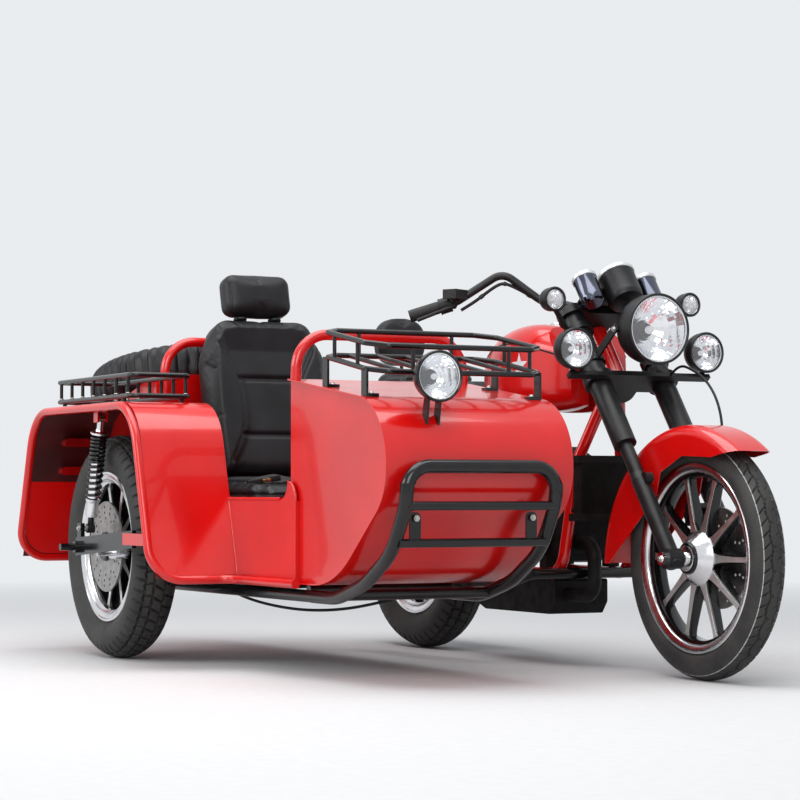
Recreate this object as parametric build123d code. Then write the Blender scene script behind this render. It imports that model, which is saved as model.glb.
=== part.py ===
from build123d import *
from math import cos, pi, radians, sin, tan
import os

# Road motorcycle with a passenger sidecar on its right side.
# Millimetres, +X forward, +Y left, +Z up. Pieces are modelled about the ground point below the
# rear axle, and the whole is moved so that its origin is the middle of its footprint.

# Wheels
wheelbase = 1505
side_lead = 25
side_track = 1015
front_tyre_r = 310
rear_tyre_r = 321
front_half = 44
rear_half = 65
axle_r = 10
axle_fit = 0.08
tyre_seat_gap = 0.3
flange_height = 12
flange_width = 5
barrel_wall = 9
spoke_count = 10
side_gap = 0.5

# Steering
rake = 36.6
fork_offset = 50
leg_spread = 100
leg_r = 22.5
stanchion_r = 19
slider_top = 245
shroud_r = 31
shroud_low = 361
lower_clamp_s = 566
upper_clamp_s = 791
clamp_t = 24
stem_r = 14
head_tube_r = 27

# Sidecar body
body_gap = 115
body_width = 523
sheet = 4
floor_z = 245
nose_rear = 921
nose_front = 1483
nose_top = 772
nose_slope = 0.14
nose_brow_r = 172
nose_chin_r = 140
nose_keel_r = 350
sill_top = 459
sill_overlap = 51
sill_corner_r = 45
tail_rear = -560
tail_top = 825
tail_slope = 13
cockpit_side_top = 640
flange_inset = 10
step_plate_rise = 2

# Sidecar mudguard
guard_reach = 135
guard_rise = 86
guard_rear = -355
guard_front = 458
guard_low_rear = 278
guard_low_front = 243
guard_splay_rear = 146
guard_splay_front = 144
edge_tube_r = 12

# Motorcycle
tank_rear = 500
tank_front = 1000
tank_top = 945
tank_low = 700
frame_tube_r = 16
frame_half = 110
frame_low = 255
pivot_x = 452
pivot_rise = 24
rail_rise = 61
rail_r = 13

# Reach of the outermost pieces
cover_overhang = 108
stub_reach = 187
bar_reach = 420

# Clearances
touch = 0.3

body_near = body_gap - side_track
body_far = body_near + body_width
guard_edge = -side_track - guard_reach
guard_top = 2 * rear_tyre_r + guard_rise
pivot_z = rear_tyre_r + pivot_rise
rail_z = 2 * rear_tyre_r + rail_rise
tilt = radians(rake)
axis_foot = Vector(wheelbase, 0, front_tyre_r) - fork_offset * Vector(cos(tilt), 0, sin(tilt))
fork_plane = Plane(origin=axis_foot, x_dir=(cos(tilt), 0, sin(tilt)), z_dir=(-sin(tilt), 0, cos(tilt)))
overall_rear = tail_rear - cover_overhang
overall_front = wheelbase + front_tyre_r
overall_right = -side_track - stub_reach
overall_left = bar_reach
frame_shift = Vector(-(overall_rear + overall_front) / 2, -(overall_right + overall_left) / 2, 0)

nodes = {}


def rod(start, end, radius):
    start = Vector(*start)
    end = Vector(*end)
    return Solid.make_cylinder(radius, (end - start).length, Plane(origin=start, z_dir=end - start))


def bent_tube(points, radius, bend, close=False):
    path = FilletPolyline(*points, radius=bend, close=close)
    ring = Plane(origin=path @ 0, z_dir=path % 0) * Circle(radius)
    return sweep(ring, path=path)


def block(x, y, z):
    middle = Pos((x[0] + x[1]) / 2, (y[0] + y[1]) / 2, (z[0] + z[1]) / 2)
    return middle * Box(x[1] - x[0], y[1] - y[0], z[1] - z[0])


def side_prism(outline, y_low, y_high):
    """A flat outline drawn in X and Z, as thick as y_low to y_high."""
    return extrude(Plane.XZ.offset(-y_high) * make_face(outline), amount=y_high - y_low)


def turned(profile, axis=Axis.Y):
    """A ring about the Y axis, from a profile of radius and place along the axle."""
    return revolve(make_face(profile), axis=axis)


def fork_point(forward, across, along):
    """A point in the fork's own directions: ahead of the steering axis, across, and up along it."""
    return fork_plane.from_local_coords(Vector(forward, across, along))


# Wheels: one row each, in millimetres.
# name, x, y, tyre radius, half width, rim radius, seat half, belly radius, shoulder radius, shoulder half
rear_rim_r = rear_tyre_r - 104
wheel_table = [
    ("front", wheelbase, 0, front_tyre_r, front_half, front_tyre_r - 67, 31, front_tyre_r - 46, front_tyre_r - 25, 40),
    ("rear", 0, 0, rear_tyre_r, rear_half, rear_rim_r, 43, rear_tyre_r - 59, rear_tyre_r - 25, 56),
    ("sidecar", side_lead, -side_track, rear_tyre_r, rear_half, rear_rim_r, 43, rear_tyre_r - 59, rear_tyre_r - 25, 56),
]
hub_r = 42
hub_half = 58
disc_r = 130
disc_t = 5
disc_y = 46
disc_hole_r = 4
cone_base_r = 69
cone_tip_r = 33
spoke_half_hub = 14
spoke_half_rim = 9
spoke_half_t = 14


def make_tyre(radius, half, rim_r, seat, belly_r, shoulder_r, shoulder):
    bead_r = rim_r - flange_height + tyre_seat_gap
    edge = seat - tyre_seat_gap
    outline = [
        Line((bead_r, -edge), (bead_r, edge)),
        Line((bead_r, edge), (rim_r, edge)),
        ThreePointArc((rim_r, edge), (belly_r, half), (shoulder_r, shoulder)),
        ThreePointArc((shoulder_r, shoulder), (radius, 0), (shoulder_r, -shoulder)),
        ThreePointArc((shoulder_r, -shoulder), (belly_r, -half), (rim_r, -edge)),
        Line((rim_r, -edge), (bead_r, -edge)),
    ]
    return turned(outline)


def make_rim(rim_r, seat, cone):
    seat_r = rim_r - flange_height
    side = seat + flange_width
    inner_r = seat_r - barrel_wall
    barrel = turned(
        Polyline(
            (inner_r, -side), (rim_r, -side), (rim_r, -seat), (seat_r, -seat), (seat_r, seat),
            (rim_r, seat), (rim_r, side), (inner_r, side), close=True,
        )
    )
    hub = Rot(90, 0, 0) * Cylinder(hub_r, 2 * hub_half)
    if cone:
        hub += turned(Polyline((0, -22), (cone_base_r, -22), (cone_tip_r, -60), (0, -60), close=True))
    rim = barrel + hub
    spoke = side_prism(
        Polyline(
            (hub_r - 6, -spoke_half_hub), (inner_r + 3, -spoke_half_rim),
            (inner_r + 3, spoke_half_rim), (hub_r - 6, spoke_half_hub), close=True,
        ),
        -spoke_half_t, spoke_half_t,
    )
    for index in range(spoke_count):
        rim += Rot(0, 360 / spoke_count * index, 0) * spoke
    return rim - Rot(90, 0, 0) * Cylinder(axle_r + axle_fit, 300)


def make_disc(side):
    disc = Rot(90, 0, 0) * Cylinder(disc_r, disc_t)
    disc -= Rot(90, 0, 0) * Cylinder(hub_r + touch, 2 * disc_t)
    for ring_r, count in ((82, 12), (98, 15), (114, 15)):
        for index in range(count):
            hole = Pos(ring_r, 0, 0) * Rot(90, 0, 0) * Cylinder(disc_hole_r, 2 * disc_t)
            disc -= Rot(0, 360 / count * index, 0) * hole
    return Pos(0, side * disc_y, 0) * disc


for name, x, y, tyre_r, half, rim_r, seat, belly_r, shoulder_r, shoulder in wheel_table:
    place = Pos(x, y, tyre_r)
    nodes[name + "_tyre"] = place * make_tyre(tyre_r, half, rim_r, seat, belly_r, shoulder_r, shoulder)
    nodes[name + "_rim"] = place * make_rim(rim_r, seat, name == "front")
    disc_side = -1 if name == "sidecar" else 1
    nodes[name + "_brake_disc"] = place * make_disc(disc_side)


# Front fork, in its own directions: ahead, across, along the steering axis
def make_fork():
    legs = Part()
    shrouds = Part()
    for side in (-1, 1):
        place = Pos(fork_offset, side * leg_spread, 0)
        leg = place * Pos(0, 0, (slider_top - 20) / 2) * Cylinder(leg_r, slider_top + 20)
        leg += place * Pos(0, 0, slider_top + 11) * Cone(leg_r, stanchion_r, 22)
        leg += place * Pos(0, 0, (slider_top + shroud_low - touch) / 2) * Cylinder(
            stanchion_r, shroud_low - touch - slider_top
        )
        lug = Pos(fork_offset, side * leg_spread, 0) * Rot(90, 0, 0) * Cylinder(26, 2 * leg_r)
        tab = Pos(fork_offset + 24, side * (leg_spread - 6), slider_top - 8) * Rot(90, 0, 0) * Cylinder(15, 22)
        leg = leg + lug + tab
        legs += leg - Pos(fork_offset, side * leg_spread, 0) * Rot(90, 0, 0) * Cylinder(axle_r + touch, 80)
        shrouds += Pos(fork_offset, side * leg_spread, (shroud_low + upper_clamp_s) / 2) * Cylinder(
            shroud_r, upper_clamp_s - shroud_low - 2 * touch
        )
    clamps = Part()
    for level in (lower_clamp_s, upper_clamp_s):
        plate = Pos(50, 0, level + clamp_t / 2) * Box(60, 2 * leg_spread + 20, clamp_t)
        plate += Pos(0, 0, level + clamp_t / 2) * Cylinder(30, clamp_t)
        plate += Pos(20, 0, level + clamp_t / 2) * Box(40, 60, clamp_t)
        for side in (-1, 1):
            plate += Pos(fork_offset, side * leg_spread, level + clamp_t / 2) * Cylinder(42, clamp_t)
        clamps += plate
    for side in (-1, 1):
        clamps -= Pos(fork_offset, side * leg_spread, lower_clamp_s) * Cylinder(shroud_r + touch, 60)
        clamps += Pos(fork_offset, side * leg_spread, upper_clamp_s + clamp_t + 4) * Cylinder(17, 10)
    stem_low = lower_clamp_s + clamp_t / 2
    stem_high = upper_clamp_s + clamp_t / 2
    clamps += Pos(0, 0, (stem_low + stem_high) / 2) * Cylinder(stem_r, stem_high - stem_low)
    clamps += Pos(93, 0, lower_clamp_s - 5) * Box(20, 440, 12)
    nodes["fork_legs"] = fork_plane.location * legs
    nodes["fork_shrouds"] = fork_plane.location * shrouds
    nodes["fork_clamps"] = fork_plane.location * clamps


make_fork()

spacer_r = 17
leg_inner = leg_spread - leg_r
leg_outer = leg_spread + leg_r


def make_front_axle():
    axle = rod((wheelbase, -leg_outer - 14, front_tyre_r), (wheelbase, leg_outer + 14, front_tyre_r), axle_r)
    for side in (-1, 1):
        hub_face = 60 if side < 0 else hub_half
        near = side * (hub_face + side_gap)
        far = side * (leg_inner - touch)
        axle += rod((wheelbase, near, front_tyre_r), (wheelbase, far, front_tyre_r), spacer_r)
        nut = side * (leg_outer + touch)
        axle += rod((wheelbase, nut, front_tyre_r), (wheelbase, nut + side * 12, front_tyre_r), spacer_r)
    nodes["front_axle"] = axle


make_front_axle()


# Front fender: an arch over the tyre with side skirts
fender_half = front_half + 24
fender_wall = 3
fender_size = front_tyre_r / 310
# ahead of the axle, above the axle
fender_arc = [(212, 270), (4, 339), (-393, -22)]
skirt_line = [(-350, -22), (-120, 160), (-103, 218), (-5, 260), (125, 255)]
fender_centre = (-8.3, -46.2)
fender_r = 385.4


def fender_point(point):
    return (wheelbase + point[0] * fender_size, front_tyre_r + point[1] * fender_size)


def make_front_fender():
    tip, crown, tail = [fender_point(point) for point in fender_arc]
    skirt = [fender_point(point) for point in skirt_line]
    outline = [ThreePointArc(tip, crown, tail), Polyline(tail, *skirt, tip)]
    shell = side_prism(outline, -fender_half, fender_half)
    crown_edges = [edge for edge in shell.edges().filter_by(GeomType.CIRCLE) if edge.length > 400]
    shell = fillet(crown_edges, 30)
    centre = fender_point(fender_centre)
    hollow_half = fender_half - fender_wall
    hollow = Cylinder(fender_r * fender_size - fender_wall, 2 * hollow_half)
    hollow = Pos(centre[0], 0, centre[1]) * Rot(90, 0, 0) * hollow
    fender = shell - fillet(hollow.edges().filter_by(GeomType.CIRCLE), 30 - fender_wall)
    stay = fork_point(fork_offset, 0, slider_top - 8)
    for side in (-1, 1):
        stay_root = stay + Vector(0, side * (fender_half - 2), 0)
        fender += rod(stay_root, stay + Vector(0, side * (leg_inner - touch), 0), 9)
    nodes["front_fender"] = fender


make_front_fender()


def make_front_caliper():
    """Two blocks either side of the disc, joined over its rim, with the pistons' covers on the outside."""
    middle = wheelbase - 96
    outer = leg_inner - touch
    low = front_tyre_r + 80
    high = front_tyre_r + 140
    body = block((middle - 32, middle + 26), (disc_y - 20, outer), (low, high))
    body = fillet(body.edges().filter_by(Axis.Y), 10)
    body -= block((middle - 40, middle + 34), (disc_y - 8, disc_y + 8), (low - 10, high - 12))
    for x in (middle - 16, middle + 10):
        body += rod((x, disc_y - 26, low + 26), (x, disc_y - 10, low + 26), 12)
    nodes["front_caliper"] = body


make_front_caliper()


# Handlebar and what it carries, in the fork's directions
bar_r = 11
bar_half = [(15, 45, 867), (-38, 115, 938), (-36, 200, 1030), (-136, 310, 1003), (-210, bar_reach, 1009)]
bar_bends = [30, 30, 45, 60]
grip_r = 17
mirror_boss_r = 9
mirror_boss_top = 34
mirror_bore_r = 5
mirror_bore_depth = 14


def make_handlebar():
    right = [(f, -y, s) for f, y, s in reversed(bar_half)]
    points = [fork_point(*point) for point in right + bar_half]
    bends = list(reversed(bar_bends)) + bar_bends
    bar = bent_tube(points, bar_r, bends)
    for side in (-1, 1):
        foot = fork_point(15, side * 45, upper_clamp_s + clamp_t + touch)
        bar += rod(foot, fork_point(15, side * 45, 867), 14)
    nodes["handlebar"] = bar
    controls = Part()
    for side in (-1, 1):
        end = fork_point(-210, side * bar_reach, 1009)
        root = fork_point(-136, side * 310, 1003)
        away = (end - root).normalized()
        grip = rod(root + away * 46.3, end + away * 4, grip_r)
        perch = rod(root + away * 16, root + away * 46, 22)
        body = perch + grip
        body += rod(root + away * 46, root + away * 50, 23)
        mount = root + away * 24
        lever_root = mount + Vector(34, 0, -6)
        lever_tip = end + Vector(38, 0, -14)
        body += rod(mount + Vector(14, 0, -2), lever_root, 9)
        body += rod(lever_root, lever_tip, 5)
        body += rod(mount + Vector(0, 0, 14), mount + Vector(0, 0, mirror_boss_top), mirror_boss_r)
        bore_foot = mount + Vector(0, 0, mirror_boss_top - mirror_bore_depth)
        body -= rod(bore_foot, mount + Vector(0, 0, 60), mirror_bore_r)
        if side < 0:
            tank = Pos(mount + Vector(30, 6, 26)) * Rot(0, 0, 28) * Box(44, 62, 26)
            body += tank + rod(mount + Vector(20, 4, 4), mount + Vector(28, 5, 20), 9)
        inward = (fork_point(-36, side * 200, 1030) - root).normalized()
        body -= rod(root, end + away * touch, bar_r + touch) + rod(root, root + inward * 70, bar_r + 3)
        controls += body
    nodes["hand_controls"] = controls


make_handlebar()


# Lamps: a round bowl that looks forward, under a shallow domed lens
lens_rise = 0.12


def make_lamp(x, y, z, radius, depth):
    rim = depth - radius
    rise = lens_rise * radius
    dome = (radius**2 + rise**2) / (2 * rise)
    middle = rise - dome + (dome**2 - (radius / 2) ** 2) ** 0.5
    outline = [
        Line((0, rise), (0, -depth)),
        ThreePointArc((0, -depth), (radius * cos(pi / 4), -rim - radius * sin(pi / 4)), (radius, -rim)),
        Line((radius, -rim), (radius, 0)),
        ThreePointArc((radius, 0), (radius / 2, middle), (0, rise)),
    ]
    return Pos(x, y, z) * Rot(0, 0, -90) * turned(outline)


headlamp_r = 93
headlamp_depth = 130
fog_r = 54
signal_r = 32
head_face = fork_point(242.8, 0, 600.4)
fog_face = fork_point(146.9, 205, 605.5)
signal_face = fork_point(154.1, 215, 769.6)


def make_lamps():
    head = make_lamp(*head_face, headlamp_r, headlamp_depth)
    for side in (-1, 1):
        ring = Pos(fork_offset, side * leg_spread, 640) * Cylinder(shroud_r + 6, 26)
        arm = Pos(fork_offset + 75, side * (headlamp_r + 5), 640) * Box(150, 6, 22)
        bracket = ring + arm - Pos(fork_offset, side * leg_spread, 640) * Cylinder(shroud_r + touch, 40)
        head += fork_plane.location * bracket
        boss = fork_point(190, side * (headlamp_r - 14), 640)
        head += rod(boss, boss + Vector(0, side * 20, 0), 9)
    nodes["headlamp"] = head
    fogs = Part()
    signals = Part()
    for side in (-1, 1):
        fogs += make_lamp(fog_face.X, side * fog_face.Y, fog_face.Z, fog_r, 70)
        stem_foot = fork_point(94, side * fog_face.Y, lower_clamp_s + 1 + touch)
        fogs += rod(stem_foot, fork_point(94, side * fog_face.Y, lower_clamp_s + 40), 7)
        signals += make_lamp(signal_face.X, side * signal_face.Y, signal_face.Z, signal_r, 55)
        ring = Cylinder(shroud_r + 9, 20) - Cylinder(shroud_r + touch, 30)
        ring = Pos(fork_offset, side * leg_spread, 745) * ring
        base = fork_point(fork_offset + 4, side * (leg_spread + shroud_r + 7), 745)
        signals += fork_plane.location * ring
        signals += rod(base, (signal_face.X - 30, side * signal_face.Y, signal_face.Z), 7)
    nodes["fog_lamps"] = fogs
    nodes["turn_signals"] = signals


make_lamps()

# Gauges: across, ahead, low, high, radius
gauge_table = [(0, 165, 757, 860, 50), (-95, 151, 761, 855, 32.5), (95, 151, 761, 855, 32.5)]


def make_gauges():
    cluster = Pos(92, 0, upper_clamp_s + clamp_t + touch + 3) * Box(104, 150, 6)
    for across, ahead, low, high, radius in gauge_table:
        cluster += Pos(ahead, across, (low + high) / 2) * Cylinder(radius, high - low)
    nodes["gauges"] = fork_plane.location * cluster


make_gauges()


# Sidecar nose: skin, near and far side panels
def nose_profile(inset, rear=nose_rear):
    """The nose seen from the side, moved in by the inset, from its open rear edge forward."""
    top_c = nose_top + nose_slope * nose_rear - inset * (1 + nose_slope**2) ** 0.5
    dive = 0.786
    dive_c = 419 - dive * 1419 + inset * (1 + dive**2) ** 0.5
    front = nose_front - inset
    low = floor_z - 3 + inset
    top_front = (front, top_c - nose_slope * front)
    dive_front = (front, dive * front + dive_c)
    dive_low = ((low - dive_c) / dive, low)
    radii = [nose_brow_r - inset, nose_chin_r - inset, nose_keel_r - inset]
    corners = [(rear, top_c - nose_slope * rear), top_front, dive_front, dive_low, (rear, low)]
    return FilletPolyline(*corners, radius=[0, *radii, 0], close=True)


nose_skin = side_prism(nose_profile(0), body_near, body_far)
nose_skin -= side_prism(nose_profile(sheet, nose_rear - 10), body_near - 1, body_far + 1)
nodes["nose_skin"] = nose_skin

panel_near = body_near + flange_inset
panel_far = body_far - flange_inset
nose_sides = side_prism(nose_profile(sheet + touch), panel_near, panel_near + sheet)
nose_sides += side_prism(nose_profile(sheet + touch), panel_far - sheet, panel_far)
nodes["nose_sides"] = nose_sides

floor_pan = block((touch, nose_rear - touch), (body_near, body_far), (floor_z - sheet - touch, floor_z - touch))
floor_pan += block((540, 905), (body_near + 30, body_far - 30), (floor_z - touch, floor_z - touch + step_plate_rise))
nodes["floor_pan"] = floor_pan


def make_tail():
    drop = tan(radians(tail_slope))
    outline = Polyline(
        (0, floor_z), (0, tail_top), (tail_rear, tail_top + drop * tail_rear),
        (tail_rear, 420), (tail_rear + 160, floor_z), close=True,
    )
    inner = Polyline(
        (-sheet, floor_z + sheet), (-sheet, tail_top - sheet - 1),
        (tail_rear + sheet, tail_top - sheet - 1 + drop * tail_rear), (tail_rear + sheet, 422),
        (tail_rear + 161, floor_z + sheet), close=True,
    )
    tail = side_prism(outline, body_near, body_far)
    tail -= side_prism(inner, body_near + sheet, body_far - sheet)
    nodes["sidecar_tail"] = tail


make_tail()

# Sidecar mudguard: an arch with splayed skirts, and a round tube along its edge
guard_radius = 150
guard_corner = 90
foot_rear = guard_rear - guard_splay_rear
foot_front = guard_front + guard_splay_front
sill_tube_y = body_near - edge_tube_r - touch
sill_tube_front = 1000


def guard_arch(inset, low_extra):
    slope_rear = guard_splay_rear / (guard_top - guard_low_rear)
    slope_front = guard_splay_front / (guard_top - guard_low_front)
    rear_in = inset * ((1 + slope_rear**2) ** 0.5 - slope_rear)
    front_in = inset * ((1 + slope_front**2) ** 0.5 - slope_front)
    top = guard_top - inset
    rear = guard_rear + rear_in
    front = guard_front - front_in
    depth_rear = top - guard_low_rear + low_extra
    depth_front = top - guard_low_front + low_extra
    return FilletPolyline(
        (rear - slope_rear * depth_rear, top - depth_rear), (rear, top), (front, top),
        (front + slope_front * depth_front, top - depth_front),
        radius=[0, guard_radius - inset, guard_radius - inset, 0], close=True,
    )


def make_mudguard():
    outer_y = guard_edge + edge_tube_r + touch
    arch = side_prism(guard_arch(0, 0), outer_y, body_near - touch)
    arch -= side_prism(guard_arch(sheet, 40), outer_y - 1, body_near)
    tube_gap = edge_tube_r + touch
    middle = (guard_rear + guard_front) / 2
    for low, ends in ((guard_low_rear, (foot_rear - 20, middle)), (guard_low_front, (middle, foot_front + 20))):
        hem = low + tube_gap
        keep = FilletPolyline(
            (body_near, hem), (outer_y, hem), (outer_y, guard_top + 20), (body_near, guard_top + 20),
            radius=[0, guard_corner - tube_gap, 0, 0], close=True,
        )
        prism = extrude(Plane.YZ.offset(ends[0]) * make_face(keep), amount=ends[1] - ends[0])
        nodes["sidecar_mudguard"] = nodes.get("sidecar_mudguard", Part()) + (arch & prism)
    path = [
        (foot_rear, body_near - touch, guard_low_rear),
        (foot_rear, guard_edge, guard_low_rear),
        (guard_rear, guard_edge, guard_top - edge_tube_r),
        (guard_front, guard_edge, guard_top - edge_tube_r),
        (foot_front, guard_edge, guard_low_front),
        (foot_front, sill_tube_y, guard_low_front),
        (sill_tube_front, sill_tube_y, guard_low_front),
    ]
    for level in (guard_top - 100, guard_top - 186):
        slot = block((-520, -300), (guard_edge + 90, guard_edge + 182), (level - 17, level + 17))
        nodes["sidecar_mudguard"] -= fillet(slot.edges().filter_by(Axis.X), 16.5)
    nodes["guard_edge_tube"] = bent_tube(
        path, edge_tube_r, [guard_corner, guard_radius, guard_radius, guard_corner, sill_corner_r]
    )


make_mudguard()

# Cockpit walls: the near one follows the mudguard's front, then laps over the nose's side panel
tab_front = nose_rear + sill_overlap
tab_low = floor_z + 2
tab = FilletPolyline(
    (nose_rear - 2 * sill_corner_r, tab_low), (nose_rear - 2 * sill_corner_r, sill_top), (nose_rear, sill_top),
    (nose_rear, sill_top + sill_corner_r + 2), (tab_front, sill_top + sill_corner_r + 2), (tab_front, tab_low),
    radius=[0, 0, sill_corner_r, 0, sill_overlap - 1, 0], close=True,
)
walls = side_prism(guard_arch(0, 40), body_near, body_near + sheet)
walls &= block((touch, foot_front), (body_near, body_near + sheet), (floor_z, guard_top))
walls += block((touch, nose_rear - touch), (body_near, body_near + sheet), (floor_z, sill_top))
walls += side_prism(tab, body_near, body_near + sheet)
walls += block((tab_front - sheet, tab_front), (body_near + sheet, panel_near - touch), (tab_low, sill_top - sheet))
walls += block((touch, nose_rear - touch), (body_far - sheet, body_far), (floor_z, cockpit_side_top))
nodes["cockpit_walls"] = walls

# Grab hoops
hoop_r = 14
front_hoop_x = 940
front_hoop_top = 888
rear_hoop_top = 920


def make_hoop(x, near, far, low, top, radius):
    path = [(x, near, low), (x, near + 6, top), (x, far - 6, top), (x, far, low)]
    return bent_tube(path, hoop_r, radius)


hoop_ends = (body_near + hoop_r, body_far - hoop_r)
nodes["front_hoop"] = make_hoop(front_hoop_x, *hoop_ends, nose_top - 20, front_hoop_top, 90)
nodes["front_hoop"] -= side_prism(nose_profile(-touch), body_near, body_far)
hoop_inset = sheet + touch + hoop_r
nodes["rear_hoop"] = make_hoop(
    hoop_r + touch, body_near + hoop_inset, body_far - hoop_inset, 600, rear_hoop_top, 90
)

# Luggage racks of round bar
rack_r = 7


def make_nose_rack():
    rear = 1086
    front = 1385
    near = body_near + 15
    far = body_far - 18
    chamfer = 45
    tilt = 0.18
    rack = Part()
    corners = [
        (rear + chamfer, near), (front - chamfer, near), (front, near + chamfer), (front, far - chamfer),
        (front - chamfer, far), (rear + chamfer, far), (rear, far - chamfer), (rear, near + chamfer),
    ]
    for level in (826, 889):
        ring = [(x, y, level - tilt * (x - rear)) for x, y in corners]
        rack += bent_tube(ring, rack_r, 12, close=True)
    posts = [(x, y) for x in (rear, front) for y in (near + 110, far - 110)]
    posts += [(x, y) for x in (1170, 1300) for y in (near, far)]
    for x, y in posts:
        drop = tilt * (x - rear)
        rack += rod((x, y, 826 - drop), (x, y, 889 - drop), rack_r - 2)
    for index in range(5):
        y = near + (far - near) * (index + 1) / 6
        rack += rod((rear, y, 826), (front, y, 826 - tilt * (front - rear)), rack_r - 1)
    for x, y in ((1120, near), (1340, near), (1120, far), (1340, far)):
        skin = nose_top - nose_slope * (x - nose_rear)
        rack += block((x - 14, x + 14), (y - 3, y + 3), (skin - 20, 826 - tilt * (x - rear)))
        foot = sorted((y - 3, y + (32 if y < (near + far) / 2 else -32)))
        rack += block((x - 14, x + 14), foot, (skin - 20, skin + 6))
    rack -= side_prism(nose_profile(-touch), body_near, body_far)
    nodes["nose_rack"] = rack


make_nose_rack()


def make_guard_rack():
    rear = -255
    front = 355
    near = guard_edge + 38
    far = body_near - 40
    low = guard_top + 17
    high = guard_top + 75
    rack = Part()
    for level in (low, high):
        ring = [(rear, near, level), (front, near, level), (front, far, level), (rear, far, level)]
        rack += bent_tube(ring, rack_r, 20, close=True)
    for index in range(7):
        x = rear + 30 + (front - rear - 60) * index / 6
        for y in (near, far):
            rack += rod((x, y, low), (x, y, high), rack_r - 2)
    for x in (rear + 60, front - 60):
        for y in (near, far):
            rack += rod((x, y, guard_top + touch), (x, y, low), rack_r - 1)
    nodes["guard_rack"] = rack


make_guard_rack()

# Crash bar round the nose: legs, top bar, cross bars
bar_near = body_near + 43
bar_far = body_far - 66
crash_r = 17
chassis_r = 16
chassis_front = 985
chassis_z = 210
bearer_r = 14
bearer_z = floor_z - sheet - 2 * touch - bearer_r
crash_line = [
    (chassis_front + touch, chassis_z), (1130, chassis_z), (1290, 252), (1430, 330), (1510, 455), (1510, 540),
]


def make_crash_bar():
    near = [(x, bar_near, z) for x, z in crash_line]
    far = [(x, bar_far, z) for x, z in reversed(crash_line)]
    bends = [300, 300, 200, 150, 60, 60, 150, 200, 300, 300]
    bar = bent_tube(near + far, crash_r, bends)
    for x, z, radius in ((1508, 445, 11), (1462, 355, 11)):
        bar += rod((x, bar_near, z), (x, bar_far, z), radius)
    bar += rod((1180, bar_near, 220), (1180, bar_far, 220), crash_r - 3)
    for y in (bar_near + 45, bar_far - 45):
        bar += block((1462, 1467), (y - 15, y + 15), (355, 415)) + rod((1462, y, 415), (1467, y, 415), 15)
        bar += rod((1467, y, 415), (1474, y, 415), 8)
    nodes["crash_bar"] = bar


make_crash_bar()

# Sidecar seat: cushion, back and headrest
body_middle = (body_near + body_far) / 2
seat_middle = body_middle + 16
seat_half = 196
back_top = 486
headrest_t = 90
headrest_w = 214
headrest_low = 495
headrest_high = 623


def make_seat():
    cushion = block((150, 500), (seat_middle - seat_half, seat_middle + seat_half), (400, 505))
    cushion = fillet(cushion.edges().filter_by(Axis.Z), 40)
    nodes["seat_cushion"] = fillet(cushion.faces().sort_by(Axis.Z)[-1].edges(), 30)
    lean = Pos(240, seat_middle, 505 + 11.1) * Rot(0, -14, 0)
    outline = FilletPolyline(
        (-seat_half + 14, 5), (-seat_half, 60), (-seat_half, back_top - 115), (-146, back_top), (146, back_top),
        (seat_half, back_top - 115), (seat_half, 60), (seat_half - 14, 5),
        radius=[20, 60, 90, 60, 60, 90, 60, 20], close=True,
    )
    back = extrude(Plane.YZ.offset(-70) * make_face(outline), amount=100)
    nodes["seat_back"] = lean * fillet(back.faces().sort_by(Axis.X)[-1].edges(), 26)
    rest = Box(headrest_t, headrest_w, headrest_high - headrest_low)
    rest = Pos(-20, 0, (headrest_low + headrest_high) / 2) * rest
    rest = fillet(rest.edges(), 34)
    for side in (-1, 1):
        rest += Pos(-20, side * 55, back_top + touch + 20) * Cylinder(6, 40)
    nodes["headrest"] = lean * rest
    sides = (seat_middle - seat_half, seat_middle + seat_half)
    nodes["seat_base"] = block((120, 520), sides, (floor_z, 400 - touch))


make_seat()

# Spare wheel under its cover, lying on the tail deck
spare_r = 312
spare_half = 67


def make_spare():
    drop = tan(radians(tail_slope))
    x = -350
    deck = tail_top + drop * x
    lift = spare_half + touch
    rise = radians(tail_slope)
    cover = fillet(Cylinder(spare_r, 2 * spare_half).edges().filter_by(GeomType.CIRCLE), 45)
    place = Pos(x - lift * sin(rise), body_middle, deck + lift * cos(rise)) * Rot(0, -tail_slope, 0)
    nodes["spare_wheel_cover"] = place * cover


make_spare()


def make_spot_lamp():
    y = body_near + 143
    lamp = make_lamp(1490, y, 758, 62, 70)
    for side in (-1, 1):
        outline = Polyline((1444, 712), (1466, 712), (1446, 600), (1418, 600), close=True)
        lamp += side_prism(outline, *sorted((y + side * 13, y + side * 19)))
    lamp += rod((1455, y - 19, 704), (1455, y + 19, 704), 6)
    nodes["spot_lamp"] = lamp - side_prism(nose_profile(-touch), body_near, body_far)


make_spot_lamp()


# Sidecar chassis and the struts to the motorcycle


def make_chassis():
    frame = Part()
    for y in (bar_near, bar_far):
        frame += rod((-380, y, chassis_z), (chassis_front, y, chassis_z), chassis_r)
    for x in (-360, 60, 560, 960):
        frame += rod((x, bar_near, bearer_z), (x, bar_far, bearer_z), bearer_r)
    strut_end = -frame_half - 8
    front_strut = [(960, bar_far, chassis_z), (984, -330, 216), (998.9, -215, 258), (998.9, 135, 258)]
    frame += bent_tube(front_strut, 14.7, [110, 110])
    rear_strut = [
        (60, bar_far, chassis_z), (60, -240, chassis_z), (660, -240, frame_low), (660, strut_end, frame_low),
    ]
    frame += bent_tube(rear_strut, 15, [60, 60])
    frame -= rod((400, -frame_half, frame_low), (1000, -frame_half, frame_low), frame_tube_r + touch)
    nodes["sidecar_chassis"] = frame


make_chassis()


arm_pivot = (424, rear_tyre_r + 29)
arm_outer = -side_track - 131
arm_inner = -side_track + 83
arm_t = 12
shock_y = -side_track - 97
shock_low = (27, rear_tyre_r + 53)
shock_high = (110, guard_top - 38)
side_disc_y = -side_track - disc_y


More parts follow.
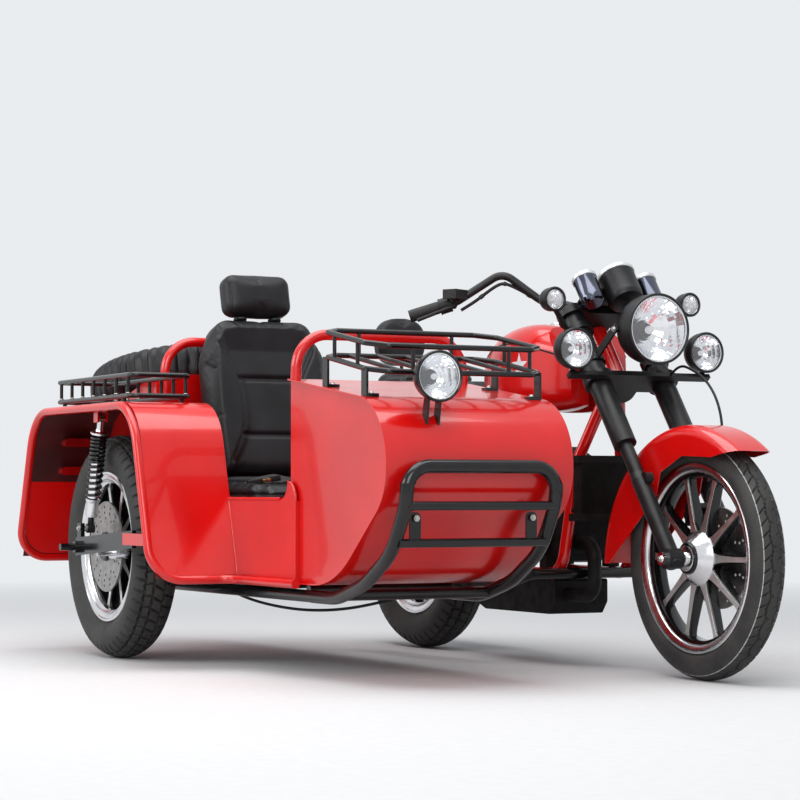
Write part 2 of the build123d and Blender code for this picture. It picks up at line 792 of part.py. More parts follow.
def make_side_suspension():
    """Trailing fork round the sidecar wheel, and its coil-over strut under the mudguard."""
    arm = Part()
    x, z = arm_pivot
    for low in (arm_outer, arm_inner):
        outline = Polyline(
            (x + 24, z - 24), (x + 24, z + 24), (side_lead - 26, rear_tyre_r + 26),
            (side_lead - 26, rear_tyre_r - 26), close=True,
        )
        arm += side_prism(outline, low, low + arm_t)
    arm += block(
        (shock_low[0] - 15, shock_low[0] + 15), (arm_outer, arm_outer + arm_t), (rear_tyre_r + 9, shock_low[1] + 15)
    )
    arm += rod((x, arm_outer, z), (x, body_near - touch, z), 15)
    arm += rod((side_lead, overall_right, rear_tyre_r), (side_lead, arm_inner + arm_t + 2, rear_tyre_r), axle_r)
    arm += rod((side_lead, arm_outer - 14, rear_tyre_r), (side_lead, arm_outer, rear_tyre_r), spacer_r)
    for side in (-1, 1):
        inner = -side_track + side * (hub_half + side_gap)
        outer = arm_outer + arm_t if side < 0 else arm_inner
        arm += rod((side_lead, inner, rear_tyre_r), (side_lead, outer, rear_tyre_r), spacer_r)
    nodes["sidecar_swingarm"] = arm
    start = Vector(shock_low[0], shock_y, shock_low[1])
    run = Vector(shock_high[0], shock_y, shock_high[1]) - start
    shock = rod(start, start + run, 9) + rod(start + run * 0.12, start + run * 0.86, 24)
    shock += rod(start + Vector(0, 12, 0), (start.X, arm_outer + arm_t + touch, start.Z), 13)
    shock += rod(start + run - Vector(0, 10, 0), start + run + Vector(0, 10, 0), 13)
    nodes["sidecar_shock"] = shock
    bracket = Part()
    for side in (-1, 1):
        ear = sorted((shock_y + side * (10 + touch), shock_y + side * 16))
        bracket += block((shock_high[0] - 16, shock_high[0] + 16), ear, (shock_high[1] - 14, guard_top - 2))
    nodes["sidecar_mudguard"] += bracket
    tube_x = foot_front - guard_splay_front * (z - guard_low_front) / (guard_top - guard_low_front)
    holder = block((x - 18, tube_x), (arm_outer - 12, arm_outer - touch), (z - 16, z + 16))
    nodes["guard_edge_tube"] += holder
    middle = side_lead + 112
    low = rear_tyre_r - 32
    high = rear_tyre_r + 34
    caliper = block((middle - 34, middle + 34), (side_disc_y - 24, side_disc_y + 16), (low, high))
    caliper = fillet(caliper.edges().filter_by(Axis.Y), 14)
    caliper -= block((middle - 44, middle + 22), (side_disc_y - 7, side_disc_y + 7), (low - 10, high + 10))
    for level in (low + 16, high - 16):
        caliper += rod((middle + 8, arm_outer + arm_t + touch, level), (middle + 8, side_disc_y - 22, level), 8)
    nodes["sidecar_caliper"] = caliper


make_side_suspension()


# Fuel tank: rounded sections from the seat to the steering head
# x, half width, low, high, corner radius
tank_table = [
    (tank_rear, 78, 745, 850, 40),
    (620, 128, 715, 915, 60),
    (820, 150, tank_low, tank_top, 70),
    (930, 125, 702, 925, 60),
    (tank_front, 88, 715, 880, 45),
]


tank_clear = 60


def make_tank():
    faces = []
    for x, half, low, high, corner in tank_table:
        outline = RectangleRounded(2 * half, high - low, corner)
        faces.append(Plane(origin=(x, 0, (low + high) / 2), x_dir=(0, 1, 0), z_dir=(1, 0, 0)) * outline)
    tank = loft(Sketch() + faces)
    ahead = Pos(200 - tank_clear, 0, 700) * Box(400, 400, 600)
    tank -= fork_plane.location * ahead
    nodes["fuel_tank"] = tank


make_tank()


# Frame: steering head, spine, twin cradle tubes, seat rails
spine_r = 20
spine_front = fork_point(0, 0, 650)
spine_rear = Vector(440, 0, rail_z + 9)
pad_height = 28
cradle_front_x = 985
cradle_rear_x = 560
seat_cross_r = 18
tail_cross_x = -150
tail_cross_r = 12
plate_in = 112.5
plate_out = 130
arm_y = 98
arm_r = 12
tail_cross_z = rail_z + 12


def spine_z(x):
    share = (x - spine_rear.X) / (spine_front.X - spine_rear.X)
    return spine_rear.Z + share * (spine_front.Z - spine_rear.Z)


def above_spine(x_low, x_high, low, high, half):
    """A bar along the spine between two heights above its middle line."""
    outline = Polyline(
        (x_low, spine_z(x_low) + low), (x_high, spine_z(x_high) + low),
        (x_high, spine_z(x_high) + high), (x_low, spine_z(x_low) + high), close=True,
    )
    return side_prism(outline, -half, half)


def make_frame():
    head_low = fork_point(0, 0, lower_clamp_s + clamp_t + side_gap)
    head_high = fork_point(0, 0, upper_clamp_s - side_gap)
    frame = rod(head_low, head_high, head_tube_r)
    frame += rod(spine_front, spine_rear, spine_r)
    for x in (580, 880):
        frame += above_spine(x, x + 30, 0, pad_height - touch, 18)
    pivot = Vector(pivot_x, 0, pivot_z)
    for side in (-1, 1):
        cradle = [
            fork_point(-10, side * 12, 625),
            (1000, side * 70, 560),
            (cradle_front_x, side * frame_half, frame_low),
            (cradle_rear_x, side * frame_half, frame_low),
            (490, side * frame_half, pivot_z),
            (spine_rear.X, side * 60, spine_rear.Z - 12),
        ]
        frame += bent_tube(cradle, frame_tube_r, [120, 60, 60, 120])
        rail = [
            (spine_rear.X, side * 60, spine_rear.Z), (200, side * frame_half, rail_z),
            (tail_cross_x - 10, side * frame_half, tail_cross_z - 3),
        ]
        frame += bent_tube(rail, rail_r, [150])
        boss = rod(pivot + Vector(0, side * plate_in, 0), pivot + Vector(0, side * plate_out, 0), 26)
        web = block((pivot_x, 490), sorted((side * plate_in, side * 120)), (pivot_z - 22, pivot_z + 22))
        bore = rod(pivot + Vector(0, side * 90, 0), pivot + Vector(0, side * 140, 0), axle_r + touch)
        frame += boss + web - bore
    frame += rod((440, -70, spine_rear.Z), (440, 70, spine_rear.Z), seat_cross_r)
    frame += rod((0, -frame_half, rail_z + 4), (0, frame_half, rail_z + 4), 10)
    frame += rod((tail_cross_x, -frame_half, tail_cross_z), (tail_cross_x, frame_half, tail_cross_z), tail_cross_r)
    frame -= rod(fork_point(0, 0, lower_clamp_s), fork_point(0, 0, upper_clamp_s + 30), stem_r + axle_fit)
    nodes["main_frame"] = frame
    nodes["fuel_tank"] -= above_spine(tank_rear - 10, tank_front + 60, -120, pad_height, 32)


make_frame()


crank_low = 290
crank_high = 430
case_front = 960
cylinder_lean = 22
header_y = -40


def make_engine():
    """Crankcase on its lugs, round side covers and two finned cylinders in a V."""
    crankcase = block((560, case_front), (-92, 92), (crank_low, crank_high))
    engine = fillet(crankcase.edges().filter_by(Axis.Y), 24)
    for side in (-1, 1):
        engine += rod((700, side * 90, 372), (700, side * 114, 372), 66)
        engine += rod((850, side * 90, 362), (850, side * 108, 362), 52)
        for x in (640, 880):
            lug_top = frame_low + frame_tube_r + touch
            engine += block((x, x + 36), sorted((side * 84, side * 118)), (lug_top, crank_low + 12))
    for side in (-1, 1):
        place = Pos(760, 0, crank_high - 40) * Rot(0, side * cylinder_lean, 0)
        cylinder = Pos(0, 0, 105) * Box(84, 120, 210)
        for index in range(6):
            cylinder += Pos(0, 0, 70 + 15 * index) * Box(112, 146, 5)
        cylinder += Pos(0, 0, 190) * Box(100, 132, 44)
        engine += place * cylinder
    nodes["engine"] = engine


make_engine()


def make_radiator():
    radiator = block((1050, 1088), (-112, 112), (420, 556))
    radiator += block((1046, 1092), (-125, 125), (556, 576)) + block((1046, 1092), (-125, 125), (400, 420))
    for level in (430, 490):
        share = (560 - level) / (560 - frame_low)
        tube_x = 1000 + share * (cradle_front_x - 1000)
        tube_y = 70 + share * (frame_half - 70)
        for side in (-1, 1):
            radiator += rod((tube_x + frame_tube_r + touch, side * tube_y, level), (1055, side * tube_y, level), 7)
    nodes["radiator"] = radiator


make_radiator()

box_low = 142
box_high = 238
box_half = 85


def make_exhaust():
    """A header from the front cylinder, a box below the engine and a silencer on the left."""
    outline = Polyline(
        (429, box_high), (455, 165), (520, box_low), (880, box_low), (907, 175), (907, box_high), close=True,
    )
    exhaust = side_prism(outline, -box_half, box_half)
    exhaust = fillet(exhaust.edges().filter_by(Axis.Y), 8)
    for x in (600, 860):
        for y in (-60, 60):
            exhaust += rod((x, y, box_high - 2), (x, y, crank_low - touch), 8)
    header = [
        (case_front + touch, header_y, 340), (1040, header_y, 340), (1040, header_y, 196), (900, header_y, 196),
    ]
    exhaust += bent_tube(header, 19, 45)
    link = [(560, 60, 200), (480, 160, 200), (330, 185, 235), (230, 185, 245)]
    exhaust += bent_tube(link, 17, 60)
    silencer = rod((250, 185, 244), (-300, 185, 262), 42)
    exhaust += fillet(silencer.edges().filter_by(GeomType.CIRCLE), 14)
    exhaust += rod((-290, 185, 261.7), (-330, 185, 263), 20)
    nodes["exhaust"] = exhaust


make_exhaust()

post_x = tail_cross_x - tail_cross_r - touch - 8
rear_fender_gap = 39
rear_fender_half = 85


def soft_block(x, y, z, corner, edge):
    """A padded block: rounded corners seen from above and a rounded top."""
    pad = block(x, y, z)
    pad = fillet(pad.edges().filter_by(Axis.Z), corner)
    return fillet(pad.faces().sort_by(Axis.Z)[-1].edges(), edge)


def make_seats():
    seat_low = spine_rear.Z + seat_cross_r + touch
    rider_seat = soft_block((130, 492), (-140, 140), (seat_low, seat_low + 70), 55, 30)
    nodes["rider_seat"] = rider_seat - above_spine(425, 520, -40, spine_r + 1, 24)
    seat_low = tail_cross_z + tail_cross_r + touch
    nodes["pillion_seat"] = soft_block((tail_cross_x - 11, 128), (-120, 120), (seat_low, seat_low + 122), 55, 34)
    pad = block((post_x - 40, post_x + 10), (-85, 85), (rail_z + 177, rail_z + 324))
    pad = fillet(pad.edges().filter_by(Axis.X), 58)
    pad = fillet(pad.faces().sort_by(Axis.X)[-1].edges(), 16)
    nodes["backrest"] = pad + rod((post_x, 0, rail_z - 3), (post_x, 0, rail_z + 187), 8)


make_seats()


def make_rear_fender():
    outer_r = rear_tyre_r + rear_fender_gap
    outer = Rot(90, 0, 0) * Cylinder(outer_r, 2 * rear_fender_half)
    outer = fillet(outer.edges().filter_by(GeomType.CIRCLE), 28)
    inner = Rot(90, 0, 0) * Cylinder(outer_r - 4, 2 * (rear_fender_half - 4))
    inner = fillet(inner.edges().filter_by(GeomType.CIRCLE), 24)
    fender = outer - inner - block((-400, 400), (-100, 100), (-420, 112))
    fender = Pos(0, 0, rear_tyre_r) * fender
    top = rear_tyre_r + (outer_r**2 - tail_cross_x**2) ** 0.5
    fender += rod((0, 0, rear_tyre_r + outer_r - 2), (0, 0, rail_z - 6 - touch), 9)
    fender += rod((tail_cross_x, 0, top - 2), (tail_cross_x, 0, tail_cross_z - tail_cross_r - touch), 9)
    nodes["rear_fender"] = fender
    lamp_z = rear_tyre_r + 215
    lamps = rod((-300, 0, lamp_z), (-348, 0, lamp_z), 38)
    lamps = fillet(lamps.faces().sort_by(Axis.X)[0].edges(), 10)
    lamps += block((-340, -334), (-20, 20), (lamp_z - 70, lamp_z - 20))
    lamps += block((-343, -340), (-100, 100), (lamp_z - 190, lamp_z - 50))
    lamps -= Pos(0, 0, rear_tyre_r) * Rot(90, 0, 0) * Cylinder(outer_r + touch, 300)
    for level in (guard_top - 100, guard_top - 186):
        share = (guard_top - level) / (guard_top - guard_low_rear)
        skirt_x = guard_rear - guard_splay_rear * share
        back = block((skirt_x - 34, skirt_x + 40), (guard_edge + 94, guard_edge + 178), (level - 12.5, level + 12.5))
        back = fillet(back.edges().filter_by(Axis.X), 12)
        lens = block((skirt_x - 34, skirt_x + 20), (guard_edge + 82, guard_edge + 190), (level - 26, level + 26))
        lens = fillet(lens.edges().filter_by(Axis.X), 24)
        depth = guard_splay_rear / (guard_top - guard_low_rear)
        skirt = Polyline(
            (skirt_x + depth * 60 - touch, level + 60), (skirt_x - depth * 60 - touch, level - 60),
            (skirt_x + 200, level - 60), (skirt_x + 200, level + 60), close=True,
        )
        lens -= side_prism(skirt, guard_edge, body_near)
        lamps += back + lens
    nodes["tail_lamps"] = lamps


make_rear_fender()


def make_swingarm():
    """Two round arms with the axle and the pivot, and the chain's case inside the left arm."""
    arm = Part()
    for side in (-1, 1):
        arm += rod((pivot_x, side * arm_y, pivot_z), (0, side * arm_y, rear_tyre_r), arm_r)
        arm += block((-30, 50), sorted((side * 86, side * 112)), (rear_tyre_r - 24, rear_tyre_r + 26))
        arm += rod((0, side * (hub_half + side_gap), rear_tyre_r), (0, side * 90, rear_tyre_r), spacer_r)
    arm += rod((0, -128, rear_tyre_r), (0, 128, rear_tyre_r), axle_r)
    arm += rod((pivot_x, -110, pivot_z), (pivot_x, 110, pivot_z), 18)
    arm += rod((pivot_x, -136, pivot_z), (pivot_x, 136, pivot_z), axle_r)
    case_in = rear_half + 5.5
    case = side_prism(
        Polyline(
            (0, rear_tyre_r - 98), (pivot_x - 24, pivot_z - 48), (pivot_x - 24, pivot_z + 48), (0, rear_tyre_r + 98),
            close=True,
        ),
        case_in, arm_y - arm_r + 1,
    )
    case += rod((0, case_in, rear_tyre_r), (0, arm_y - arm_r + 1, rear_tyre_r), 98)
    arm += case
    for side in (-1, 1):
        level = pivot_z + side * 38
        arm += block((pivot_x - 30, 560 - touch), (case_in + 2, arm_y - arm_r - 2), (level - 5, level + 5))
    nodes["rear_swingarm"] = arm
    shocks = Part()
    for side in (-1, 1):
        low = Vector(30, side * 154, rear_tyre_r + 12)
        high = Vector(130, side * 154, rail_z + 4)
        run = high - low
        shocks += rod(low, high, 9) + rod(low + run * 0.12, low + run * 0.86, 23)
        shocks += rod(Vector(30, side * (112 + touch), low.Z), low + Vector(0, side * 12, 0), 12)
        inner_end = Vector(130, side * (frame_half + rail_r + touch), high.Z)
        shocks += rod(inner_end, high + Vector(0, side * 12, 0), 12)
    nodes["rear_shocks"] = shocks


make_swingarm()


def make_side_pieces():
    """Side covers below the seat, foot pegs with the gear lever and the brake pedal."""
    covers = Part()
    pegs = Part()
    inner = frame_half + rail_r + touch
    for side in (-1, 1):
        outline = FilletPolyline(
            (152, rail_z + 2), (400, rail_z - 10), (468, 610), (380, 480), (196, 480),
            radius=[10, 30, 30, 30, 30], close=True,
        )
        cover = side_prism(outline, *sorted((side * inner, side * (inner + 18))))
        covers += fillet(cover.faces().sort_by(Axis.Y)[0 if side < 0 else -1].edges(), 8)
        plate = frame_half + frame_tube_r + touch
        pegs += block((592, 628), sorted((side * plate, side * (plate + 8))), (frame_low - 14, 300))
        pegs += rod((610, side * (plate + 4), 286), (610, side * 216, 286), 12)
        pegs += rod((610, side * 150, 286), (770, side * 150, 312), 6)
        pegs += rod((770, side * 142, 312), (770, side * 190, 312), 9)
    nodes["side_covers"] = covers
    nodes["foot_controls"] = pegs


make_side_pieces()

# Free hoses: the brake line that sags below the sidecar, and the front brake's hose
line_r = 4
hose_r = 3.5
line_route = [
    (330, -835, 206), (388, -835, 206), (470, -803, 180), (565, -760, 163), (660, -712, 156), (755, -655, 162),
    (846, -596, 182), (896, -530, 206), (896, -471, 206),
]
hose_route = [
    (1213.2, 95, 792.1), (1249.3, 95, 818.9), (1316, 96, 800), (1372, 97, 772), (1415, 97, 730), (1440, 97, 680),
    (1449, 96, 625), (1447, 90, 570), (1438, 78, 520), (1425, 60, 478), (1425, 60, 450),
]


def cord_bends(route):
    """The largest even arcs that the runs allow at each corner."""
    points = [Vector(*point) for point in route]
    bends = []
    for before, corner, after in zip(points, points[1:], points[2:]):
        turn = radians((corner - before).get_angle(after - corner))
        run = min((corner - before).length, (after - corner).length)
        bends.append(0.45 * run / tan(turn / 2))
    return bends


def make_cords():
    for name, route, radius in (("brake_line", line_route, line_r), ("brake_hose", hose_route, hose_r)):
        bends = cord_bends(route)
        print(name, "bend radii", [round(bend) for bend in bends])
        path = FilletPolyline(*route, radius=bends)
        ring = Plane(origin=path @ 0, z_dir=path % 0) * Circle(radius)
        nodes[name] = sweep(ring, path=path)
        share = nodes[name].volume / (pi * radius**2 * path.length)
        print(name, "length", round(path.length), "volume share", share)
    clips = block((306, 330), (bar_near + chassis_r - 3, bar_near + chassis_r + 16), (198, 214))
    clips += block((888, 904), (bar_far - chassis_r - 12, bar_far - chassis_r + 3), (198, 214))
    nodes["sidecar_chassis"] += clips


make_cords()

os.makedirs("parts", exist_ok=True)
for name, shape in nodes.items():
    moved = Pos(*frame_shift) * shape
    export_step(Compound(children=list(moved.solids())), "parts/" + name + ".step")
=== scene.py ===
import bmesh
import bpy
import math
import numpy as np
from mathutils import Matrix, Vector
from mathutils.bvhtree import BVHTree
from types import SimpleNamespace


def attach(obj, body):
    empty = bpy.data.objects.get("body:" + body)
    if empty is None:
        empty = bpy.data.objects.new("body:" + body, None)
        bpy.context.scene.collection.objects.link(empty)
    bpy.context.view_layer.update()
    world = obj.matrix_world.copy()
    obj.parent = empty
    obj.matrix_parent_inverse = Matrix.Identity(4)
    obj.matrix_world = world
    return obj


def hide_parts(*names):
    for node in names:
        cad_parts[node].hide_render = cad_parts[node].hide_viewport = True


bl_info = {
    "name": "Sidecar motorcycle",
    "version": (1, 0, 0),
    "blender": (4, 5, 0),
    "location": "View3D > Sidebar > Sidecar motorcycle",
    "description": "Builds the looks of a motorcycle with a passenger sidecar around its packed frame",
    "category": "Add Mesh",
}

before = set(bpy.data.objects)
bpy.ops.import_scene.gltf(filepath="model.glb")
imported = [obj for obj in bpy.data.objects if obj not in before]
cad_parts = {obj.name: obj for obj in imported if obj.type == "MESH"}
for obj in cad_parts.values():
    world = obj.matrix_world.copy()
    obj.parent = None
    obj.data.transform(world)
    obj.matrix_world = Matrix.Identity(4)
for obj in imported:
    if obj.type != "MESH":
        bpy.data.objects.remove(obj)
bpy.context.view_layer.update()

# The drawing's driving dimensions in millimetres, about the ground point under the rear axle
WHEELBASE = 1505
SIDE_TRACK = 1015
SIDE_LEAD = 25
FRONT_TYRE_R = 310
REAR_TYRE_R = 321
RAKE = math.radians(36.6)
FORK_OFFSET = 50
# From the drawing's origin to the frame's
SHIFT = Vector((-573.5, 391.0, 0.0))
MILLIMETRES = Matrix.Scale(0.001, 4)
AXIS_FOOT = Vector((
    WHEELBASE - FORK_OFFSET * math.cos(RAKE), 0, FRONT_TYRE_R - FORK_OFFSET * math.sin(RAKE),
))
FORWARD, LEFT, RIGHT, UP = (1, 0, 0), (0, 1, 0), (0, -1, 0), (0, 0, 1)
SIDES = (-1, 1)


def at(x, y, z):
    return (Vector((x, y, z)) + SHIFT) / 1000


def facing(z_axis, x_axis):
    """The turn that brings a piece's own z and x to these directions."""
    z = Vector(z_axis).normalized()
    x = Vector(x_axis)
    x = (x - z * x.dot(z)).normalized()
    return Matrix((x, z.cross(x), z)).transposed().to_4x4()


def place(origin, z_axis=UP, x_axis=FORWARD):
    """From a piece's own millimetres to the frame's metres."""
    return Matrix.Translation(at(*origin)) @ facing(z_axis, x_axis) @ MILLIMETRES


def leaning(origin, angle):
    """The place of a piece that leans back by this angle."""
    sine, cosine = math.sin(angle), math.cos(angle)
    return place(origin, (-sine, 0, cosine), (cosine, 0, sine))


CAR = place((0, 0, 0))
FORK = leaning(AXIS_FOOT, RAKE)


def fork_at(ahead, across, along):
    """A point in the drawing's millimetres, from the fork's own directions."""
    x = AXIS_FOOT.x + ahead * math.cos(RAKE) - along * math.sin(RAKE)
    z = AXIS_FOOT.z + ahead * math.sin(RAKE) + along * math.cos(RAKE)
    return Vector((x, across, z))


# Materials


def shader(name):
    """A new material with its tree, its surface shader and its Object coordinates."""
    material = bpy.data.materials.new(name)
    material.use_nodes = True
    tree = material.node_tree
    surface = tree.nodes["Principled BSDF"]
    coords = tree.nodes.new("ShaderNodeTexCoord")
    return material, tree, surface, coords.outputs["Object"]


def node(tree, kind, links=(), **values):
    """A new node with outputs linked to its first inputs and values set on the named ones."""
    made = tree.nodes.new(kind)
    for output, socket in zip(links, made.inputs):
        tree.links.new(output, socket)
    for key, value in values.items():
        made.inputs[key.replace("_", " ")].default_value = value
    return made


def texture(tree, kind, where, scale, detail=None):
    made = node(tree, "ShaderNodeTex" + kind, [where], Scale=scale)
    if detail:
        made.inputs["Detail"].default_value = detail
    return made


def ramp(tree, value, low, high, start, end):
    """Turns a value between low and high into one between two numbers."""
    made = node(tree, "ShaderNodeMapRange", [value], From_Min=low, From_Max=high, To_Min=start, To_Max=end)
    return made.outputs["Result"]


def blend_colours(tree, share, first, second):
    made = tree.nodes.new("ShaderNodeMix")
    made.data_type = "RGBA"
    tree.links.new(share, made.inputs["Factor"])
    made.inputs["A"].default_value = (*first, 1)
    made.inputs["B"].default_value = (*second, 1)
    return made.outputs["Result"]


def calculated(tree, kind, operation, *values):
    """The node of a calculation with these values."""
    made = node(tree, kind, values)
    made.operation = operation
    return made.outputs["Value"]


def mixed(tree, share, first, second, end):
    """Shows a mix of two shaders on the material's or the world's output."""
    mix = node(tree, "ShaderNodeMixShader", [share, first, second])
    tree.links.new(mix.outputs["Shader"], tree.nodes[end].inputs["Surface"])


def relief(tree, surface, heights, strength, distance):
    bump = node(tree, "ShaderNodeBump", Strength=strength, Distance=distance)
    tree.links.new(heights, bump.inputs["Height"])
    tree.links.new(bump.outputs["Normal"], surface.inputs["Normal"])


def coated(surface, **values):
    """Sets constants on a surface shader."""
    for key, value in values.items():
        surface.inputs[key.replace("_", " ")].default_value = value


def finish(
    name, colour, second, roughness, rough_span=0.08, metallic=0.0, coat=0.0, scale=40.0,
    grain=300.0, grain_depth=0.0, shine=0.5,
):
    """A finish with a slow change of colour, uneven gloss and a fine grain."""
    material, tree, surface, where = shader(name)
    slow = texture(tree, "Noise", where, scale, 3.0).outputs["Fac"]
    colours = blend_colours(tree, ramp(tree, slow, 0.35, 0.65, 0, 1), colour, second)
    tree.links.new(colours, surface.inputs["Base Color"])
    gloss = texture(tree, "Noise", where, scale * 2.3, 2.0).outputs["Fac"]
    uneven = ramp(tree, gloss, 0.3, 0.7, roughness, roughness + rough_span)
    tree.links.new(uneven, surface.inputs["Roughness"])
    coated(surface, Metallic=metallic, Coat_Weight=coat, Coat_Roughness=0.03, Specular_IOR_Level=shine)
    if grain_depth:
        relief(tree, surface, texture(tree, "Noise", where, grain, 2.0).outputs["Fac"], 0.5, grain_depth)
    return material


def metal(name, colour, second, roughness, rough_span, scale, **values):
    return finish(name, colour, second, roughness, rough_span, metallic=1.0, scale=scale, **values)


def leather(name, colour, second):
    """Grained vinyl: small cells with fine creases between them."""
    material, tree, surface, where = shader(name)
    slow = texture(tree, "Noise", where, 9.0, 3.0).outputs["Fac"]
    colours = blend_colours(tree, ramp(tree, slow, 0.3, 0.7, 0, 1), colour, second)
    tree.links.new(colours, surface.inputs["Base Color"])
    relief(tree, surface, texture(tree, "Voronoi", where, 420.0).outputs["Distance"], 0.3, 0.0005)
    tree.links.new(ramp(tree, slow, 0.3, 0.7, 0.38, 0.52), surface.inputs["Roughness"])
    coated(surface, Specular_IOR_Level=0.28)
    return material


def tyre_rubber(name):
    """Rubber that is dustier and browner in places, with a fine grain."""
    material, tree, surface, where = shader(name)
    slow = texture(tree, "Noise", where, 12.0, 5.0).outputs["Fac"]
    fine = texture(tree, "Noise", where, 260.0, 3.0).outputs["Fac"]
    dusty = ramp(tree, slow, 0.35, 0.7, 0, 1)
    dust = blend_colours(tree, dusty, (0.016, 0.016, 0.016), (0.04, 0.038, 0.035))
    tree.links.new(dust, surface.inputs["Base Color"])
    tree.links.new(ramp(tree, fine, 0.3, 0.7, 0.55, 0.8), surface.inputs["Roughness"])
    relief(tree, surface, fine, 0.4, 0.0005)
    return material


def clear_glass(name, tint, opacity):
    material, tree, surface, where = shader(name)
    haze = texture(tree, "Noise", where, 35.0, 2.0).outputs["Fac"]
    tree.links.new(ramp(tree, haze, 0.3, 0.7, 0.02, 0.08), surface.inputs["Roughness"])
    coated(surface, Base_Color=(*tint, 1), Alpha=opacity, Specular_IOR_Level=0.9)
    return material


looks = SimpleNamespace(
    red=finish("red_gloss_paint", (0.66, 0.004, 0.003), (0.57, 0.003, 0.003), 0.2, 0.05, coat=0.4, scale=5.0),
    # Dark red for the sheet inside the mudguard: painted shade, darker than the red paint
    painted_shade_red=finish("red_paint_inside", (0.07, 0.001, 0.001), (0.04, 0.001, 0.001), 0.45, scale=9.0),
    gloss_black=finish(
        "black_gloss_enamel", (0.003, 0.003, 0.004), (0.006, 0.006, 0.006), 0.14, coat=0.3, scale=25.0,
        grain=700.0, grain_depth=0.0002, shine=0.3,
    ),
    satin_black=finish(
        "black_satin_powder_coat", (0.006, 0.006, 0.007), (0.012, 0.012, 0.013), 0.34, 0.1, scale=18.0,
        grain=1200.0, grain_depth=0.00025, shine=0.35,
    ),
    plastic=finish(
        "black_moulded_plastic", (0.008, 0.008, 0.009), (0.014, 0.014, 0.014), 0.44, 0.12, scale=30.0,
        grain=1500.0, grain_depth=0.0003, shine=0.3,
    ),
    cast_black=finish(
        "black_cast_engine_paint", (0.004, 0.004, 0.004), (0.011, 0.01, 0.01), 0.46, 0.2, scale=22.0,
        grain=420.0, grain_depth=0.0008, shine=0.15,
    ),
    webbing=finish(
        "black_webbing", (0.012, 0.012, 0.013), (0.03, 0.03, 0.03), 0.7, 0.1, scale=200.0,
        grain=900.0, grain_depth=0.0008,
    ),
    mould_line=finish("pale_tyre_line", (0.5, 0.49, 0.47), (0.36, 0.35, 0.33), 0.7, scale=60.0),
    white_paint=finish("white_paint", (0.8, 0.8, 0.8), (0.74, 0.74, 0.74), 0.3, coat=0.5, scale=14.0),
    red_lens=finish("red_lens", (0.42, 0.004, 0.004), (0.3, 0.003, 0.003), 0.12, coat=0.8, scale=60.0),
    pale_ring=finish(
        "pale_gauge_ring", (0.66, 0.67, 0.66), (0.56, 0.57, 0.56), 0.3, 0.1, metallic=0.4, scale=50.0
    ),
    alloy=metal(
        "polished_alloy", (0.78, 0.78, 0.79), (0.68, 0.68, 0.7), 0.13, 0.1, 20.0,
        grain=900.0, grain_depth=0.0002,
    ),
    machined=metal(
        "machined_spoke_faces", (0.72, 0.71, 0.7), (0.62, 0.61, 0.6), 0.32, 0.1, 35.0,
        grain=1400.0, grain_depth=0.0003,
    ),
    steel=metal(
        "drilled_disc_steel", (0.42, 0.41, 0.4), (0.3, 0.29, 0.28), 0.3, 0.15, 45.0,
        grain=900.0, grain_depth=0.0004,
    ),
    zinc=metal("zinc_plated_bolts", (0.6, 0.6, 0.58), (0.45, 0.45, 0.42), 0.26, 0.12, 90.0),
    brass=metal("yellow_plated_metal", (0.75, 0.5, 0.16), (0.62, 0.4, 0.14), 0.22, 0.1, 80.0),
    chrome=metal("chrome_plate", (0.84, 0.85, 0.87), (0.76, 0.77, 0.79), 0.05, 0.05, 12.0),
    mirror=metal("lamp_reflector", (0.92, 0.93, 0.95), (0.86, 0.87, 0.9), 0.05, 0.08, 25.0),
    blue_chrome=metal("dark_blue_chrome", (0.13, 0.14, 0.18), (0.08, 0.085, 0.11), 0.1, 0.06, 12.0),
    rubber=tyre_rubber("tyre_rubber"),
    vinyl=leather("black_vinyl", (0.009, 0.009, 0.01), (0.016, 0.016, 0.018)),
    cover_vinyl=leather("black_cover_vinyl", (0.008, 0.008, 0.009), (0.014, 0.014, 0.016)),
    lamp_glass=clear_glass("lamp_glass", (0.9, 0.93, 0.95), 0.16),
    ribbed_glass=clear_glass("ribbed_lens", (0.92, 0.93, 0.95), 0.5),
)

NODE_FINISH = {
    "red": (
        "nose_skin", "nose_sides", "cockpit_walls", "sidecar_tail", "sidecar_mudguard", "guard_edge_tube",
        "front_hoop", "rear_hoop", "main_frame", "fuel_tank", "rear_fender", "front_fender", "side_covers",
    ),
    "gloss_black": (
        "floor_pan", "nose_rack", "guard_rack", "crash_bar", "sidecar_chassis", "sidecar_swingarm",
        "rear_swingarm", "foot_controls",
    ),
    "satin_black": (
        "fork_legs", "fork_shrouds", "fork_clamps", "front_caliper", "handlebar", "headlamp", "fog_lamps",
        "turn_signals", "gauges", "spot_lamp", "brake_line", "brake_hose",
    ),
    "plastic": ("seat_base", "hand_controls", "sidecar_shock", "rear_shocks"),
    "cast_black": ("engine", "radiator", "exhaust"),
    "vinyl": (
        "seat_cushion", "seat_back", "headrest", "spare_wheel_cover", "rider_seat", "pillion_seat", "backrest"
    ),
    "rubber": ("front_tyre", "rear_tyre", "sidecar_tyre"),
    "alloy": ("front_rim", "rear_rim", "sidecar_rim", "sidecar_caliper"),
    "steel": ("front_brake_disc", "rear_brake_disc", "sidecar_brake_disc"),
    "chrome": ("front_axle",),
    "red_lens": ("tail_lamps",),
}


# Shapes


def settle(piece, body, nodes=()):
    """Puts a finished piece on its body, and in the place of its CAD nodes."""
    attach(piece, body)
    if nodes:
        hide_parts(*nodes)
    return piece


def linked(name, data):
    piece = bpy.data.objects.new(name, data)
    bpy.context.scene.collection.objects.link(piece)
    return piece


def dressed(mesh, *materials):
    mesh.materials.clear()
    for material in materials:
        mesh.materials.append(material)


